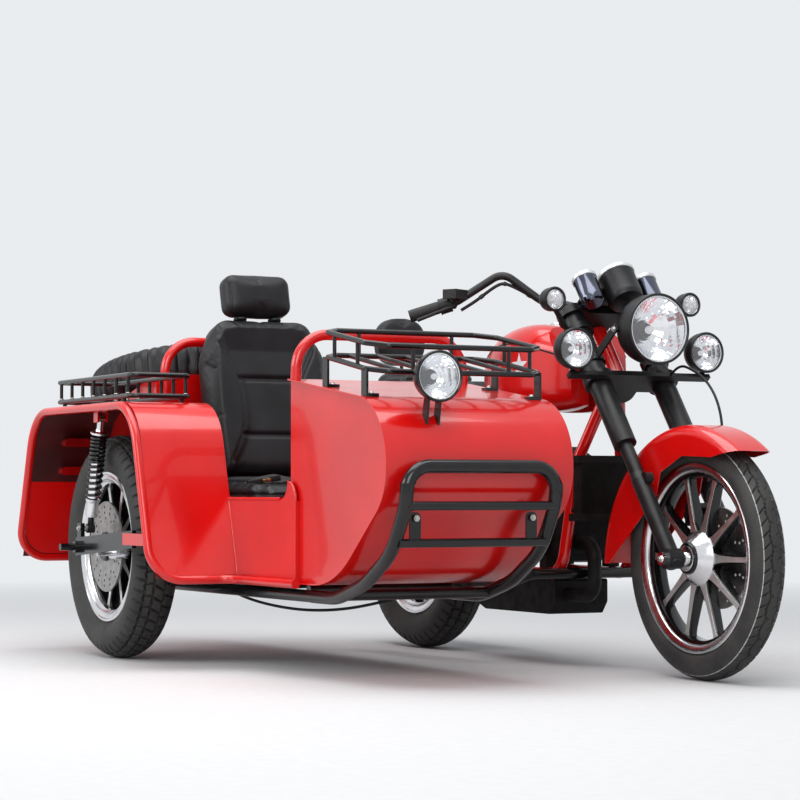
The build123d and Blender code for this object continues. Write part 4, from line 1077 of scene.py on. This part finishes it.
def from_polyline(spots, line):
    """Distance of each spot to a polyline, both flat."""
    best = np.full(len(spots), 1e9)
    for first, second in zip(line, line[1:]):
        first, second = np.array(first, float), np.array(second, float)
        run = second - first
        share = np.clip(((spots - first) @ run) / (run @ run), 0, 1)
        best = np.minimum(best, np.linalg.norm(spots - first - share[:, None] * run, axis=1))
    return best


def bump(distance, width):
    """1 on a line, easing to 0 beside it."""
    return np.exp(-((distance / width) ** 2))


def rim_seam(points, normals, axis, level, width, depth, limit=0.8):
    """Depth of a sewn line round a pad's side, at one level along an axis."""
    beside = np.clip((limit - np.abs(normals[:, axis])) / 0.3, 0, 1)
    return depth * bump(points[:, axis] - level, width) * beside


class SoftForm:
    """A padded piece in its own millimetres: the remeshed CAD solid, swelled by cloth pressure, then sewn."""

    FRAMES = 20

    def __init__(self, name, cad, where, voxel=6.0, shrink=4.0):
        self.cad = cad
        self.where = where
        self.piece = linked(name, node_mesh(cad))
        remesh = self.piece.modifiers.new("even_mesh", "REMESH")
        remesh.mode = "VOXEL"
        remesh.voxel_size = voxel / 1000
        bake(self.piece)
        self.press(shrink)

    def read(self):
        """Points and outward directions, in the piece's own millimetres."""
        mesh = self.piece.data
        points = np.empty(len(mesh.vertices) * 3)
        mesh.vertices.foreach_get("co", points)
        normals = np.array([vertex.vector[:] for vertex in mesh.vertex_normals])
        inverse = np.array(self.where.inverted())
        points = points.reshape(-1, 3) @ inverse[:3, :3].T + inverse[:3, 3]
        normals = normals @ inverse[:3, :3].T
        normals /= np.maximum(np.linalg.norm(normals, axis=1)[:, None], 1e-9)
        return points, normals

    def write(self, points):
        where = np.array(self.where)
        points = points @ where[:3, :3].T + where[:3, 3]
        self.piece.data.vertices.foreach_set("co", points.ravel())
        self.piece.data.update()

    def press(self, depth):
        """Moves the points inward by a depth, or by what depth gives for the points and their normals."""
        points, normals = self.read()
        if callable(depth):
            depth = depth(points, normals)[:, None]
        self.write(points - normals * depth)

    def push(self, axis, amount):
        """amount gets points and normals and gives how far each point moves along one axis."""
        points, normals = self.read()
        points[:, axis] += amount(points, normals)
        self.write(points)

    def swell(self, cap):
        """Cloth pressure, with no point moved further than the cap."""
        before, normals = self.read()
        cloth = self.piece.modifiers.new("pressure", "CLOTH")
        cloth.settings.use_pressure = True
        cloth.settings.uniform_pressure_force = 4.0
        cloth.settings.effector_weights.gravity = 0
        cloth.settings.quality = 4
        cloth.point_cache.frame_start = 1
        cloth.point_cache.frame_end = self.FRAMES
        scene = bpy.context.scene
        for number in range(1, self.FRAMES + 1):
            scene.frame_set(number)
        bake(self.piece)
        scene.frame_set(1)
        after, normals = self.read()
        run = after - before
        far = np.linalg.norm(run, axis=1)
        self.write(before + run * np.minimum(1, cap / np.maximum(far, 1e-6))[:, None])

    def refine(self):
        """Four faces for each one."""
        self.piece.modifiers.new("fine", "SUBSURF").levels = 1
        bake(self.piece)

    def finish(self, fill=0.85):
        mesh = self.piece.data
        dressed(mesh, looks.vinyl)
        mesh.polygons.foreach_set("use_smooth", [True] * len(mesh.polygons))
        settle(self.piece, "chassis", (self.cad,))
        return skin_tree(mesh)


def on_surface(tree, where, spot, direction):
    """Where a line from the spot meets the surface, in the part's own millimetres."""
    heading = (where.to_3x3() @ Vector(direction)).normalized()
    hit = tree.ray_cast(where @ Vector(spot), heading)[0]
    return where.inverted() @ hit if hit else None


# The piping's line is looked for from this far outside, and lies this high above the surface
PIPING_REACH, PIPING_LIFT = 200, 0.6


def piping(shape, tree, where, line, direction, radius):
    """A welt that follows a line laid on the surface from outside."""
    heading = Vector(direction)
    path = []
    for spot in divided(line, 2, 8):
        hit = on_surface(tree, where, spot - heading * PIPING_REACH, heading)
        if hit:
            path.append(hit - heading * PIPING_LIFT)
    if len(path) > 3:
        shape.pipe(eased(path, 2), radius, looks.vinyl, where, 8)


BODY_MIDDLE = -638.5
SEAT_MIDDLE = BODY_MIDDLE + 16
BACK_LEAN = math.radians(14)
CUSHION = place((325, SEAT_MIDDLE, 505))
BACK = leaning((240, SEAT_MIDDLE, 516.1), BACK_LEAN)
# Across and up the sidecar's seat back
BACK_SEAM = [
    (150, 402), (134, 366), (114, 330), (99, 300), (90, 250), (87, 195), (92, 152), (102, 120), (122, 80),
    (142, 45),
]
UPPER_CHANNEL, LOWER_CHANNEL = 298, 129
# The belt's two edges, above the middle of the cushion's top
BELT_FRONT = [
    (50, -150, -8), (48, -110, -6), (50, -78, -8), (46, -51, -4), (36, -17, 6), (10, 20, 6), (-40, 60, 4),
    (-110, 100, 4),
]
BELT_BACK = [
    (12, -150, -3), (6, -107, 13), (2, -75, 19), (-4, -42, 24), (-4, -17, 18), (-20, 12, 14), (-64, 40, 10),
    (-128, 80, 8),
]


class SeatSizes(bpy.types.PropertyGroup):
    seam_depth: bpy.props.FloatProperty(
        name="Seam depth", description="How deep the sewn channels are pressed, in millimetres", default=7.0,
        min=0, max=20,
    )


class SIDECAR_OT_seats(bpy.types.Operator):
    """The sidecar's seat with its belt, and the rider's seats"""

    bl_idname = "sidecar.seats"
    bl_label = "Seats"

    def execute(self, context):
        seam = context.scene.seat_sizes.seam_depth
        welts = Shape()
        welts.pipe([(236, SEAT_MIDDLE + side * 168, 508) for side in SIDES], 16, looks.vinyl)
        self.back(seam, welts)
        self.cushion(seam, welts)
        self.headrest()
        self.rider(seam, welts)
        welts.piece("seat_piping", "chassis", "black_vinyl")
        self.belt()
        return {"FINISHED"}

    def back(self, seam, welts):
        form = SoftForm("seat_back_pad", "seat_back", BACK, shrink=5.0)
        seam_y, seam_z = zip(*BACK_SEAM[::-1])

        def hollow(points, normals):
            """The middle lies back between the side rolls, under a roll at the top."""
            x, y, z = points.T
            inside = np.clip((np.interp(z, seam_z, seam_y) + 14 - np.abs(y)) / 40, 0, 1)
            inside = inside * inside * (3 - 2 * inside)
            under = np.clip((452 - z) / 70, 0, 1)
            front = np.clip((x + 25) / 40, 0, 1)
            return 4 * bump(np.abs(y) - 156, 26) * front - 20 * inside * under * front

        def sewn(points, normals):
            x, y, z = points.T
            side = from_polyline(np.stack([np.abs(y), z], axis=1), BACK_SEAM)
            upper = np.where(np.abs(y) < 96, np.abs(z - UPPER_CHANNEL), 1e3)
            lower = np.where(np.abs(y) < 99, np.abs(z - LOWER_CHANNEL), 1e3)
            depth = seam * bump(side, 5.5) + 1.25 * seam * bump(upper, 7.5)
            depth = np.maximum(depth, 1.1 * seam * bump(lower, 7.0))
            depth *= np.clip((normals[:, 0] - 0.2) / 0.3, 0, 1)
            return depth + rim_seam(points, normals, 0, -28, 3.5, 2.6, 0.75)

        form.push(0, hollow)
        form.swell(9.0)
        form.refine()
        form.press(sewn)
        tree = form.finish(0.9)
        for side in SIDES:
            line = [(0, side * (y + 5.5), z) for y, z in BACK_SEAM]
            piping(welts, tree, BACK, line, (-1, 0, 0), 2.2)

    def cushion(self, seam, welts):
        form = SoftForm("seat_cushion_pad", "seat_cushion", CUSHION, shrink=5.0)

        def dish(points, normals):
            x, y, z = points.T
            sides = 3 * bump(np.abs(y) - 165, 30) - 2 * bump(y, 120)
            return np.clip(normals[:, 2], 0, 1) * (sides - 12 * np.clip((x + 100) / 270, 0, 1))

        def sewn(points, normals):
            x, y, z = points.T
            lanes = np.minimum(np.abs(np.abs(y) - 128), np.where(np.abs(y) < 128, np.abs(x - 60), 1e3))
            depth = seam * bump(lanes, 6.0) * np.clip((normals[:, 2] - 0.3) / 0.3, 0, 1)
            return depth + rim_seam(points, normals, 2, -34, 3.4, 2.4, 0.7)

        form.push(2, dish)
        form.swell(9.0)
        form.refine()
        form.press(sewn)
        tree = form.finish()
        for side in SIDES:
            line = [(x, side * 133, 0) for x in (-150, -60, 60, 120, 155)]
            piping(welts, tree, CUSHION, line, (0, 0, -1), 2.0)

    def headrest(self):
        form = SoftForm("headrest_pad", "headrest", BACK, voxel=5.0, shrink=2.5)
        form.swell(5.0)
        form.refine()

        def sewn(points, normals):
            x, y, z = points.T
            ring = np.where(z > 500, rim_seam(points, normals, 0, -44, 3.2, 2.6), 0)
            return ring + 3.0 * bump(z - 538, 32) * np.clip(normals[:, 0], 0, 1) * (np.abs(y) < 90)

        form.press(sewn)
        form.finish(0.9)
        guides = Shape()
        profile = [(6.2, 484), (19, 484), (20, 486), (19, 491), (9, 494), (6.2, 494)]
        for side in SIDES:
            spot = BACK @ Matrix.Translation((-20, side * 55, 0))
            guides.turned(profile, looks.plastic, spot, 32, loop=True)
        guides.piece("headrest_guides", "chassis", "black_plastic")

    def rider(self, seam, welts):
        """The rider's saddle, the pillion seat behind it and the pad of the backrest."""
        where = place((311, 0, 800))
        form = SoftForm("rider_saddle", "rider_seat", where)

        def saddle(points, normals):
            x = points[:, 0]
            return np.clip(normals[:, 2], 0, 1) * (6 * bump(x + 150, 50) - 10 * bump(x - 10, 95))

        form.push(2, saddle)
        form.swell(7.0)
        form.refine()
        form.press(lambda points, normals: rim_seam(points, normals, 2, -26, 3.5, seam * 0.5))
        tree = form.finish()
        piping(welts, tree, where, [(x, 0, 0) for x in (-160, -60, 60, 150)], (0, 0, -1), 1.8)
        form = SoftForm("pillion_saddle", "pillion_seat", place((-16, 0, 850)))
        form.swell(7.0)
        form.refine()
        form.press(lambda points, normals: rim_seam(points, normals, 2, -30, 3.5, seam * 0.5))
        form.finish()
        form = SoftForm("backrest_pad", "backrest", place((-170, 0, 900)), voxel=4.5, shrink=2.0)
        form.swell(4.0)
        form.finish()

    def belt(self):
        """The seat belt lies loose on the cushion, with its gold-coloured tongue in the buckle."""
        share = np.linspace(0, len(BELT_FRONT) - 1, 57)
        edges = []
        for line in (BELT_FRONT, BELT_BACK):
            edge = np.stack([np.interp(share, range(len(line)), axis) for axis in zip(*line)], axis=1)
            edges.append(np.array(eased(list(edge), 12)))
        front, back = edges
        lift = np.array((0.8, 0, 1.4))
        shape = Shape()
        rings = np.stack([front + lift, back + lift, back, front], axis=1).tolist()
        shape.skin(rings, looks.webbing, CUSHION, caps=True)
        shape.piece("seat_belt", "chassis", "black_vinyl", sharp=50)
        tongue = Shape()
        spot = CUSHION @ Matrix.Translation((46, -88, 6)) @ Matrix.Rotation(math.radians(8), 4, "X")
        tongue.block((-4, 3), (-13, 13), (-5, 5), looks.brass, spot)
        tongue.block((-8, 6), (-60, -14), (-8, 7), looks.plastic, spot)
        tongue.block((-6, 5), (12, 42), (-6, 9), looks.plastic, spot)
        tongue.piece("belt_buckle", "chassis", "chrome", bevel=1.6)


# Spare wheel cover

COVER_LEAN = math.radians(13)
COVER = leaning(
    (-350 - 67.3 * math.sin(COVER_LEAN), BODY_MIDDLE,
     825 - 350 * math.tan(COVER_LEAN) + 67.3 * math.cos(COVER_LEAN)),
    COVER_LEAN,
)
COVER_ROWS, COVER_STEPS = 84, 620


class CoverSizes(bpy.types.PropertyGroup):
    folds: bpy.props.IntProperty(
        name="Folds", description="Gathered folds round the cover", default=60, min=8, max=90
    )
    fold_depth: bpy.props.FloatProperty(
        name="Fold depth", description="Depth of the folds on the cover's wall, in millimetres", default=15.0,
        min=0, max=30,
    )


class SIDECAR_OT_spare(bpy.types.Operator):
    """The spare wheel's gathered vinyl cover"""

    bl_idname = "sidecar.spare"
    bl_label = "Spare wheel cover"

    def execute(self, context):
        size = context.scene.cover_sizes
        upper, lower = (np.linspace(0.15, math.pi / 2, count) for count in (12, 10))
        outline = [(0.01, 58), (90, 57.5), (150, 60), (205, 66), (240, 67)]
        outline += [(262 + 50 * math.sin(t), 17 + 50 * math.cos(t)) for t in upper]
        outline += [(313, 5), (313, -8), (312, -22)]
        outline += [(262 + 50 * math.cos(t), -22 - 45 * math.sin(t)) for t in lower]
        outline = np.array(outline + [(230, -66.5), (150, -66.5), (0.01, -66.5)])
        runs = np.concatenate([[0], np.cumsum(np.linalg.norm(np.diff(outline, axis=0), axis=1))])
        even = np.linspace(0, runs[-1], COVER_ROWS)
        r, z = (np.interp(even, runs, axis) for axis in outline.T)
        slope = np.gradient(np.stack([r, z], axis=1), axis=0)
        out_r, out_z = np.stack([-slope[:, 1], slope[:, 0]]) / np.hypot(slope[:, 1], slope[:, 0])
        turn = np.linspace(0, 2 * np.pi, COVER_STEPS, endpoint=False)
        turns, rows = np.meshgrid(turn, np.arange(COVER_ROWS), indexing="ij")
        sink = self.sink(turns, even[rows], size.folds, size.fold_depth)
        reach = r[rows] - sink * out_r[rows]
        rings = np.stack([reach * np.cos(turns), reach * np.sin(turns), z[rows] - sink * out_z[rows]], axis=2)
        shape = Shape()
        shape.skin(rings.transpose(1, 0, 2).tolist(), looks.cover_vinyl, COVER)
        shape.pipe(circle(237, 66.2, 180), 2.4, looks.cover_vinyl, COVER, 8, loop=True)
        cover = shape.piece("gathered_cover", "chassis", "black_vinyl", ("spare_wheel_cover",), sharp=70)
        return {"FINISHED"}

    def sink(self, turns, along, folds, fold_depth):
        """How deep the vinyl lies in its folds, from the turn and the way along the cover's outline.

        Folds start at the edge of the smooth top, run slanted down the wall and tighten underneath.
        """
        strength = np.interp(along, [0, 225, 275, 330, 400, 470, 560], [0, 0, 0.5, 1, 1, 0.9, 0.2])
        phase = folds * turns + 2.2 * (along - 240) / 420 + 0.5 * np.sin(3 * turns + along / 60)
        phase += 1.1 * np.sin(5 * turns + 1) + 0.8 * np.sin(13 * turns + 2) + 0.7 * np.sin(23 * turns)
        ridge = np.abs(np.sin(phase / 2)) ** 0.65
        uneven = 0.6 + 0.4 * np.sin(7 * turns + 0.5) * np.sin(17 * turns + along / 80)
        split = np.abs(np.sin(phase + 1.2 * np.sin(9 * turns))) * np.clip((along - 300) / 60, 0, 1)
        sag = np.sin(3 * turns + 0.7) * np.clip(along / 200, 0, 1) * np.clip((560 - along) / 200, 0, 1)
        sink = fold_depth * strength * (1 - ridge) * uneven + 1.4 * strength * split
        return np.maximum(sink + 1.2 - 1.8 * sag, 0)


# Shock absorbers


def helix(low, high, radius, turns, tight):
    """Points on a coil round the part's own z, wound closer towards its top."""
    points = []
    count = int(turns * 22)
    for share in [index / count for index in range(count + 1)]:
        rise = share + 0.16 * math.sin(math.pi * share) * tight
        turn = 2 * math.pi * turns * share
        points.append((radius * math.cos(turn), radius * math.sin(turn), low + (high - low) * rise))
    return points


class ShockSizes(bpy.types.PropertyGroup):
    wire: bpy.props.FloatProperty(
        name="Wire", description="Radius of a spring's wire, in millimetres", default=4.2, min=1, max=8
    )


class SIDECAR_OT_shocks(bpy.types.Operator):
    """Coil-over shocks of the sidecar wheel and the rear wheel"""

    bl_idname = "sidecar.shocks"
    bl_label = "Shocks"

    def execute(self, context):
        wire = context.scene.shock_sizes.wire
        shape = Shape()
        self.shock(shape, (27, -1112, 374), (110, -1112, 690), wire)
        shape.pipe([(27, -1104, 374), (27, -1133.7, 374)], 9, looks.zinc)
        shape.piece("sidecar_coil_shock", "chassis", "black_paint", ("sidecar_shock",), sharp=40)
        shape = Shape()
        for side in SIDES:
            low, high = (30, side * 154, 333), (130, side * 154, 707)
            self.shock(shape, low, high, wire)
            shape.pipe([(30, side * 146, 333), (30, side * 112.6, 333)], 9, looks.zinc)
            shape.pipe([(130, side * 123.6, 707), high], 9, looks.zinc)
        shape.piece("rear_coil_shocks", "chassis", "black_paint", ("rear_shocks",), sharp=40)
        return {"FINISHED"}

    def shock(self, shape, low, high, wire):
        """A body, a rod, a spring plate and a coil, with places along the strut as shares of its length."""
        run = Vector(high) - Vector(low)
        span = run.length
        where = place(low, run, LEFT)

        def along(shares):
            return [(r, share * span) for r, share in shares]

        shape.turned(
            [(0.01, 8), (8, 8), (9, 12)]
            + along([(9, 0.1), (17, 0.11), (18, 0.13), (18, 0.24), (21, 0.25), (21.5, 0.27), (16, 0.28)]),
            [looks.satin_black] * 3 + [looks.alloy] * 6, where, 48,
        )
        shape.turned(along([(16, 0.28), (15.5, 0.62), (6, 0.63)]), looks.chrome, where, 48)
        shape.turned(along([(6, 0.63), (6, 0.86)]), looks.chrome, where, 32)
        plate = [(6, 0.845), (24, 0.85), (26, 0.858), (26, 0.868), (23, 0.875), (12, 0.88), (9, 0.9)]
        top = [(9, span - 12), (8, span - 8), (0.01, span - 8)]
        shape.turned(along(plate) + top, looks.chrome, where, 48)
        coil = helix(0.275 * span, 0.845 * span, 19.4, 13.5, 0.6)
        shape.pipe(coil, wire, looks.gloss_black, where, 10)
        for end, half, material in ((low, 11, looks.satin_black), (high, 9.5, looks.chrome)):
            eye = place(end, LEFT)
            sleeve = [(6, -half), (12.5, -half), (13.5, 1 - half), (13.5, half - 1), (12.5, half), (6, half)]
            shape.turned(sleeve, material, eye, 32)
            pin = [(0.01, -half - 1), (6, -half - 1), (6, half + 1), (0.01, half + 1)]
            shape.turned(pin, looks.zinc, eye, 24)


# Bolts, ribs and fins


def hex_bolt(size):
    """A hexagon head with a rounded top on its washer, about its own z, in millimetres times the size."""
    scaled = MILLIMETRES @ Matrix.Scale(size, 4)
    shape = Shape()
    shape.turned([(0.01, 1.2), (7.6, 1.2), (8, 0.6), (8, -1), (0.01, -1)], looks.zinc, scaled, 20)
    head = [circle(r, z, 6) for r, z in ((5.8, 1.2), (5.8, 4.6), (5.2, 5.4))]
    shape.skin(head, looks.zinc, scaled, caps=True)
    return shape.mesh("hex_bolt", 25)


def dome_nut(size):
    shape = Shape()
    shape.turned(
        [(0.01, 8), (2.6, 7.6), (4.6, 6), (5.6, 3.4), (5.9, 2), (7.4, 1.6), (7.6, 0.8), (7.6, -1),
         (0.01, -1)],
        looks.zinc, MILLIMETRES @ Matrix.Scale(size, 4), 20,
    )
    return shape.mesh("dome_nut", 40)


class BoltSizes(bpy.types.PropertyGroup):
    size: bpy.props.FloatProperty(
        name="Size", description="Size of the bolts, as a share", default=1.0, min=0.3, max=2
    )


class SIDECAR_OT_bolts(bpy.types.Operator):
    """Bolts and dome nuts, ribs on the grips and fins of the radiator"""

    bl_idname = "sidecar.bolts"
    bl_label = "Bolts and fins"

    def execute(self, context):
        size = context.scene.bolt_sizes.size
        up = fork_at(0, 0, 1) - fork_at(0, 0, 0)
        frame_bolts = [((x, y, 778 - 0.14 * (x - 921)), UP) for x in (1120, 1340) for y in (-867, -413)]
        frame_bolts += [((424, -1146.5, 350), RIGHT), ((27, -1146.5, 374), RIGHT)]
        frame_bolts += [((1474, -812, 415), FORWARD), ((1474, -488, 415), FORWARD)]
        for x, y, z in ((452, 136, 345), (0, 128, REAR_TYRE_R)):
            frame_bolts += [((x, side * y, z), (0, side, 0)) for side in SIDES]
        posts = [(-225 + 91.67 * index, y) for index in range(7) for y in (-1112, -940)]
        fork_bolts = [((WHEELBASE, side * 136.8, FRONT_TYRE_R), (0, side, 0)) for side in SIDES]
        fork_bolts += [(fork_at(190, side * 100, 640), (0, side, 0)) for side in SIDES]
        fork_bolts += [(fork_at(92, side * 205, 577), up) for side in SIDES]
        fork_bolts += [(fork_at(50, side * 100, 824), up) for side in SIDES]
        fork_bolts.append((fork_at(0, 0, 815), up))
        self.spread("chassis_bolts", hex_bolt(size), frame_bolts, "chassis")
        self.spread("rack_nuts", dome_nut(0.8 * size), [((x, y, 753.5), UP) for x, y in posts], "chassis")
        self.spread("fork_bolts", hex_bolt(size), fork_bolts, "fork")
        self.fins()
        self.grips()
        return {"FINISHED"}

    def spread(self, name, item, spots, body):
        turned = [(at(*spot), turn_to(way)) for spot, way in spots]
        repeated(name, item, turned, looks.zinc, body)

    def fins(self):
        """Thin plates between the radiator's tanks, proud of its core."""
        fin = Shape()
        fin.block((-20.6, 20.6), (-108, 108), (-0.35, 0.35), looks.cast_black, MILLIMETRES)
        spots = [(at(1069, 0, 423.5 + 3.3 * index), (0, 0, 0)) for index in range(40)]
        repeated("radiator_fins", fin.mesh("fin"), spots, looks.cast_black, "chassis")

    def grips(self):
        """Ribs round the rubber grips."""
        rib = Shape()
        profile = [(16.6, -1.4), (17.9, -0.9), (18.1, 0), (17.9, 0.9), (16.6, 1.4)]
        rib.turned(profile, looks.rubber, MILLIMETRES, 32, loop=True)
        spots = []
        for side in SIDES:
            root, end = fork_at(-136, side * 310, 1003), fork_at(-210, side * 420, 1009)
            way = (end - root).normalized()
            spots += [(at(*(root + way * (56 + 4.4 * index))), turn_to(way)) for index in range(17)]
        repeated("grip_ribs", rib.mesh("grip_rib"), spots, looks.rubber, "fork")


# Trim

STAR_MIDDLE = Vector((825, 828))
# The step's near wall
NEAR_WALL = -900.4
GUARD_ARCH = [(-497, 282), (-351, 723), (454, 723), (597, 247)]
CABLE_ROUTE = (
    (-150, 296, 985), (-118, 262, 992), (-70, 222, 1004), (-52, 196, 1008), (-46, 150, 972), (-40, 112, 926),
)


def rounded(corners, radius, steps=12):
    """A flat line through the corners, with its inner corners rounded."""
    points = [corners[0]]
    for before, corner, after in zip(corners, corners[1:], corners[2:]):
        corner = Vector(corner)
        back, ahead = (Vector(before) - corner).normalized(), (Vector(after) - corner).normalized()
        half = back.angle(ahead) / 2
        middle = corner + (back + ahead).normalized() * radius / math.sin(half)
        first = corner + back * radius / math.tan(half) - middle
        last = corner + ahead * radius / math.tan(half) - middle
        turn = first.angle(last)
        for share in [index / steps for index in range(steps + 1)]:
            spoke = (first * math.sin((1 - share) * turn) + last * math.sin(share * turn)) / math.sin(turn)
            points.append(tuple(middle + spoke))
    return points + [corners[-1]]


class TrimSizes(bpy.types.PropertyGroup):
    star_reach: bpy.props.FloatProperty(
        name="Star", description="From the middle of the tank's star to its points, in millimetres",
        default=37.0, min=10, max=90,
    )


class SIDECAR_OT_trim(bpy.types.Operator):
    """The tank's star, trim line and cap, seams of the sidecar, cables along the handlebar"""

    bl_idname = "sidecar.trim"
    bl_label = "Trim"

    def execute(self, context):
        tree = skin_tree(node_mesh("fuel_tank"))
        self.star(tree, context.scene.trim_sizes.star_reach)
        self.tank_line(tree)
        self.seams()
        self.cables()
        return {"FINISHED"}

    def star(self, tree, reach):
        """A plain five-pointed star painted on each side of the tank."""
        turns = [math.pi / 2 + math.pi / 5 * index for index in range(11)]
        sizes = [reach if index % 2 == 0 else reach * 0.4 for index in range(11)]
        corners = [(size * math.cos(turn), size * math.sin(turn)) for size, turn in zip(sizes, turns)]
        outline = divided(corners, 6)[:-1]
        shape = Shape()
        for side in SIDES:
            rings = []
            for share in np.linspace(1, 0.02, 9):
                ring = []
                for x, z in [STAR_MIDDLE + spot * share for spot in outline]:
                    hit = on_surface(tree, CAR, (x, side * 300, z), (0, -side, 0))
                    ring.append((x, (hit.y if hit else side * 146) + side * 0.5, z))
                rings.append(ring)
            shape.skin(rings, looks.white_paint)
        shape.piece("tank_star", "chassis", "red_paint", sharp=60)

    def tank_line(self, tree):
        """A black line low round the tank's shoulders, and the filler cap."""
        shape = Shape()
        for side in SIDES:
            path = []
            for share in [index / 39 for index in range(40)]:
                z = 826 + 66 * math.sin(math.pi * (0.15 + 0.72 * share))
                hit = on_surface(tree, CAR, (545 + 420 * share, side * 300, z), (0, -side, 0))
                if hit:
                    path.append(hit)
            shape.pipe(path, 2.4, looks.gloss_black, sides=8)
        hit = on_surface(tree, CAR, (800, 0, 1200), (0, 0, -1))
        if hit:
            profile = [(0.01, 13), (20, 13), (27, 11), (30, 7), (30, 3), (33, 2), (33, -2), (0.01, -2)]
            shape.turned(profile, looks.chrome, place((800, 0, hit.z - 3)), 48)
        shape.piece("tank_trim", "chassis", "chrome")

    def seams(self):
        """Weld beads on the step's panel, the rolled lip along its top, and a dark red sheet inside the
        mudguard that is painted shade.
        """
        shape = Shape()
        heights = np.linspace(262, 456, 60)
        weld = [(458 + 0.3 * (728 - z) + 0.6 * math.sin(z * 0.9), NEAR_WALL, z) for z in heights]
        shape.pipe(weld, 1.8, looks.red, sides=8)
        lip = [(530, -898, 459.5), (540, -898, 460), (866, -898, 460), (876, -898, 459.5)]
        shape.pipe(lip, 5.0, looks.red)
        turns = np.linspace(0, math.pi / 2, 12)
        tab = [(922 + 50 * math.sin(turn), NEAR_WALL, 456 + 50 * math.cos(turn)) for turn in turns]
        shape.pipe(tab + [(972, NEAR_WALL, 300), (972, NEAR_WALL, 262)], 1.8, looks.red, sides=8)
        shape.piece("panel_seams", "chassis", "red_paint")
        # A dark red sheet just inside the mudguard's arch: painted shade where the guard's inside lies in
        # shadow
        painted_shade_sheet = Shape()
        profile = rounded(GUARD_ARCH, 145)
        painted_shade_sheet.skin([[(x, y, z) for x, z in profile] for y in (-1137.4, -902)], looks.painted_shade_red, round=False)
        painted_shade_sheet.piece("guard_liner", "chassis", "red_paint", sharp=50)

    def cables(self):
        """A sleeve of cables tied below the handlebar on each side, down to the headlamp."""
        shape = Shape()
        for side in SIDES:
            route = [fork_at(ahead, side * across, along) for ahead, across, along in CABLE_ROUTE]
            path = eased(divided(route, 6), 6)
            shape.pipe(path, 4.6, looks.plastic, sides=12)
            for spot in (8, 18, 26):
                here, half = path[spot], (path[spot + 1] - path[spot]) * 0.6
                shape.pipe([here - half, here + half], 6.2, looks.rubber, sides=12)
        shape.piece("bar_cables", "fork", "black_plastic")


class SIDECAR_PT_pieces(bpy.types.Panel):
    """Lists the pieces in the order in which they are made"""

    bl_idname = "SIDECAR_PT_pieces"
    bl_label = "Sidecar motorcycle"
    bl_space_type = "VIEW_3D"
    bl_region_type = "UI"
    bl_category = "Sidecar motorcycle"

    def draw(self, context):
        for name, group, operator in PIECES:
            box = self.layout.box()
            sizes = getattr(context.scene, name)
            for key in sizes.bl_rna.properties.keys():
                if key not in ("rna_type", "name"):
                    box.prop(sizes, key)
            box.operator(operator.bl_idname)


PIECES = (
    ("stage_sizes", StageSizes, SIDECAR_OT_stage),
    ("cord_sizes", CordSizes, SIDECAR_OT_cords),
    ("wheel_sizes", WheelSizes, SIDECAR_OT_wheels),
    ("tyre_sizes", TyreSizes, SIDECAR_OT_tyres),
    ("lamp_sizes", LampSizes, SIDECAR_OT_lamps),
    ("gauge_sizes", GaugeSizes, SIDECAR_OT_gauges),
    ("seat_sizes", SeatSizes, SIDECAR_OT_seats),
    ("cover_sizes", CoverSizes, SIDECAR_OT_spare),
    ("shock_sizes", ShockSizes, SIDECAR_OT_shocks),
    ("bolt_sizes", BoltSizes, SIDECAR_OT_bolts),
    ("trim_sizes", TrimSizes, SIDECAR_OT_trim),
)
CLASSES = [kind for name, group, operator in PIECES for kind in (group, operator)] + [SIDECAR_PT_pieces]


def register():
    for kind in CLASSES:
        bpy.utils.register_class(kind)
    for name, group, operator in PIECES:
        setattr(bpy.types.Scene, name, bpy.props.PointerProperty(type=group))


def unregister():
    for name, group, operator in PIECES:
        delattr(bpy.types.Scene, name)
    for kind in reversed(CLASSES):
        bpy.utils.unregister_class(kind)


def main():
    register()
    bpy.context.scene.view_settings.view_transform = "Standard"
    for name, group, operator in PIECES:
        getattr(bpy.ops.sidecar, operator.bl_idname.split(".")[1])()


if __name__ == "__main__":
    main()
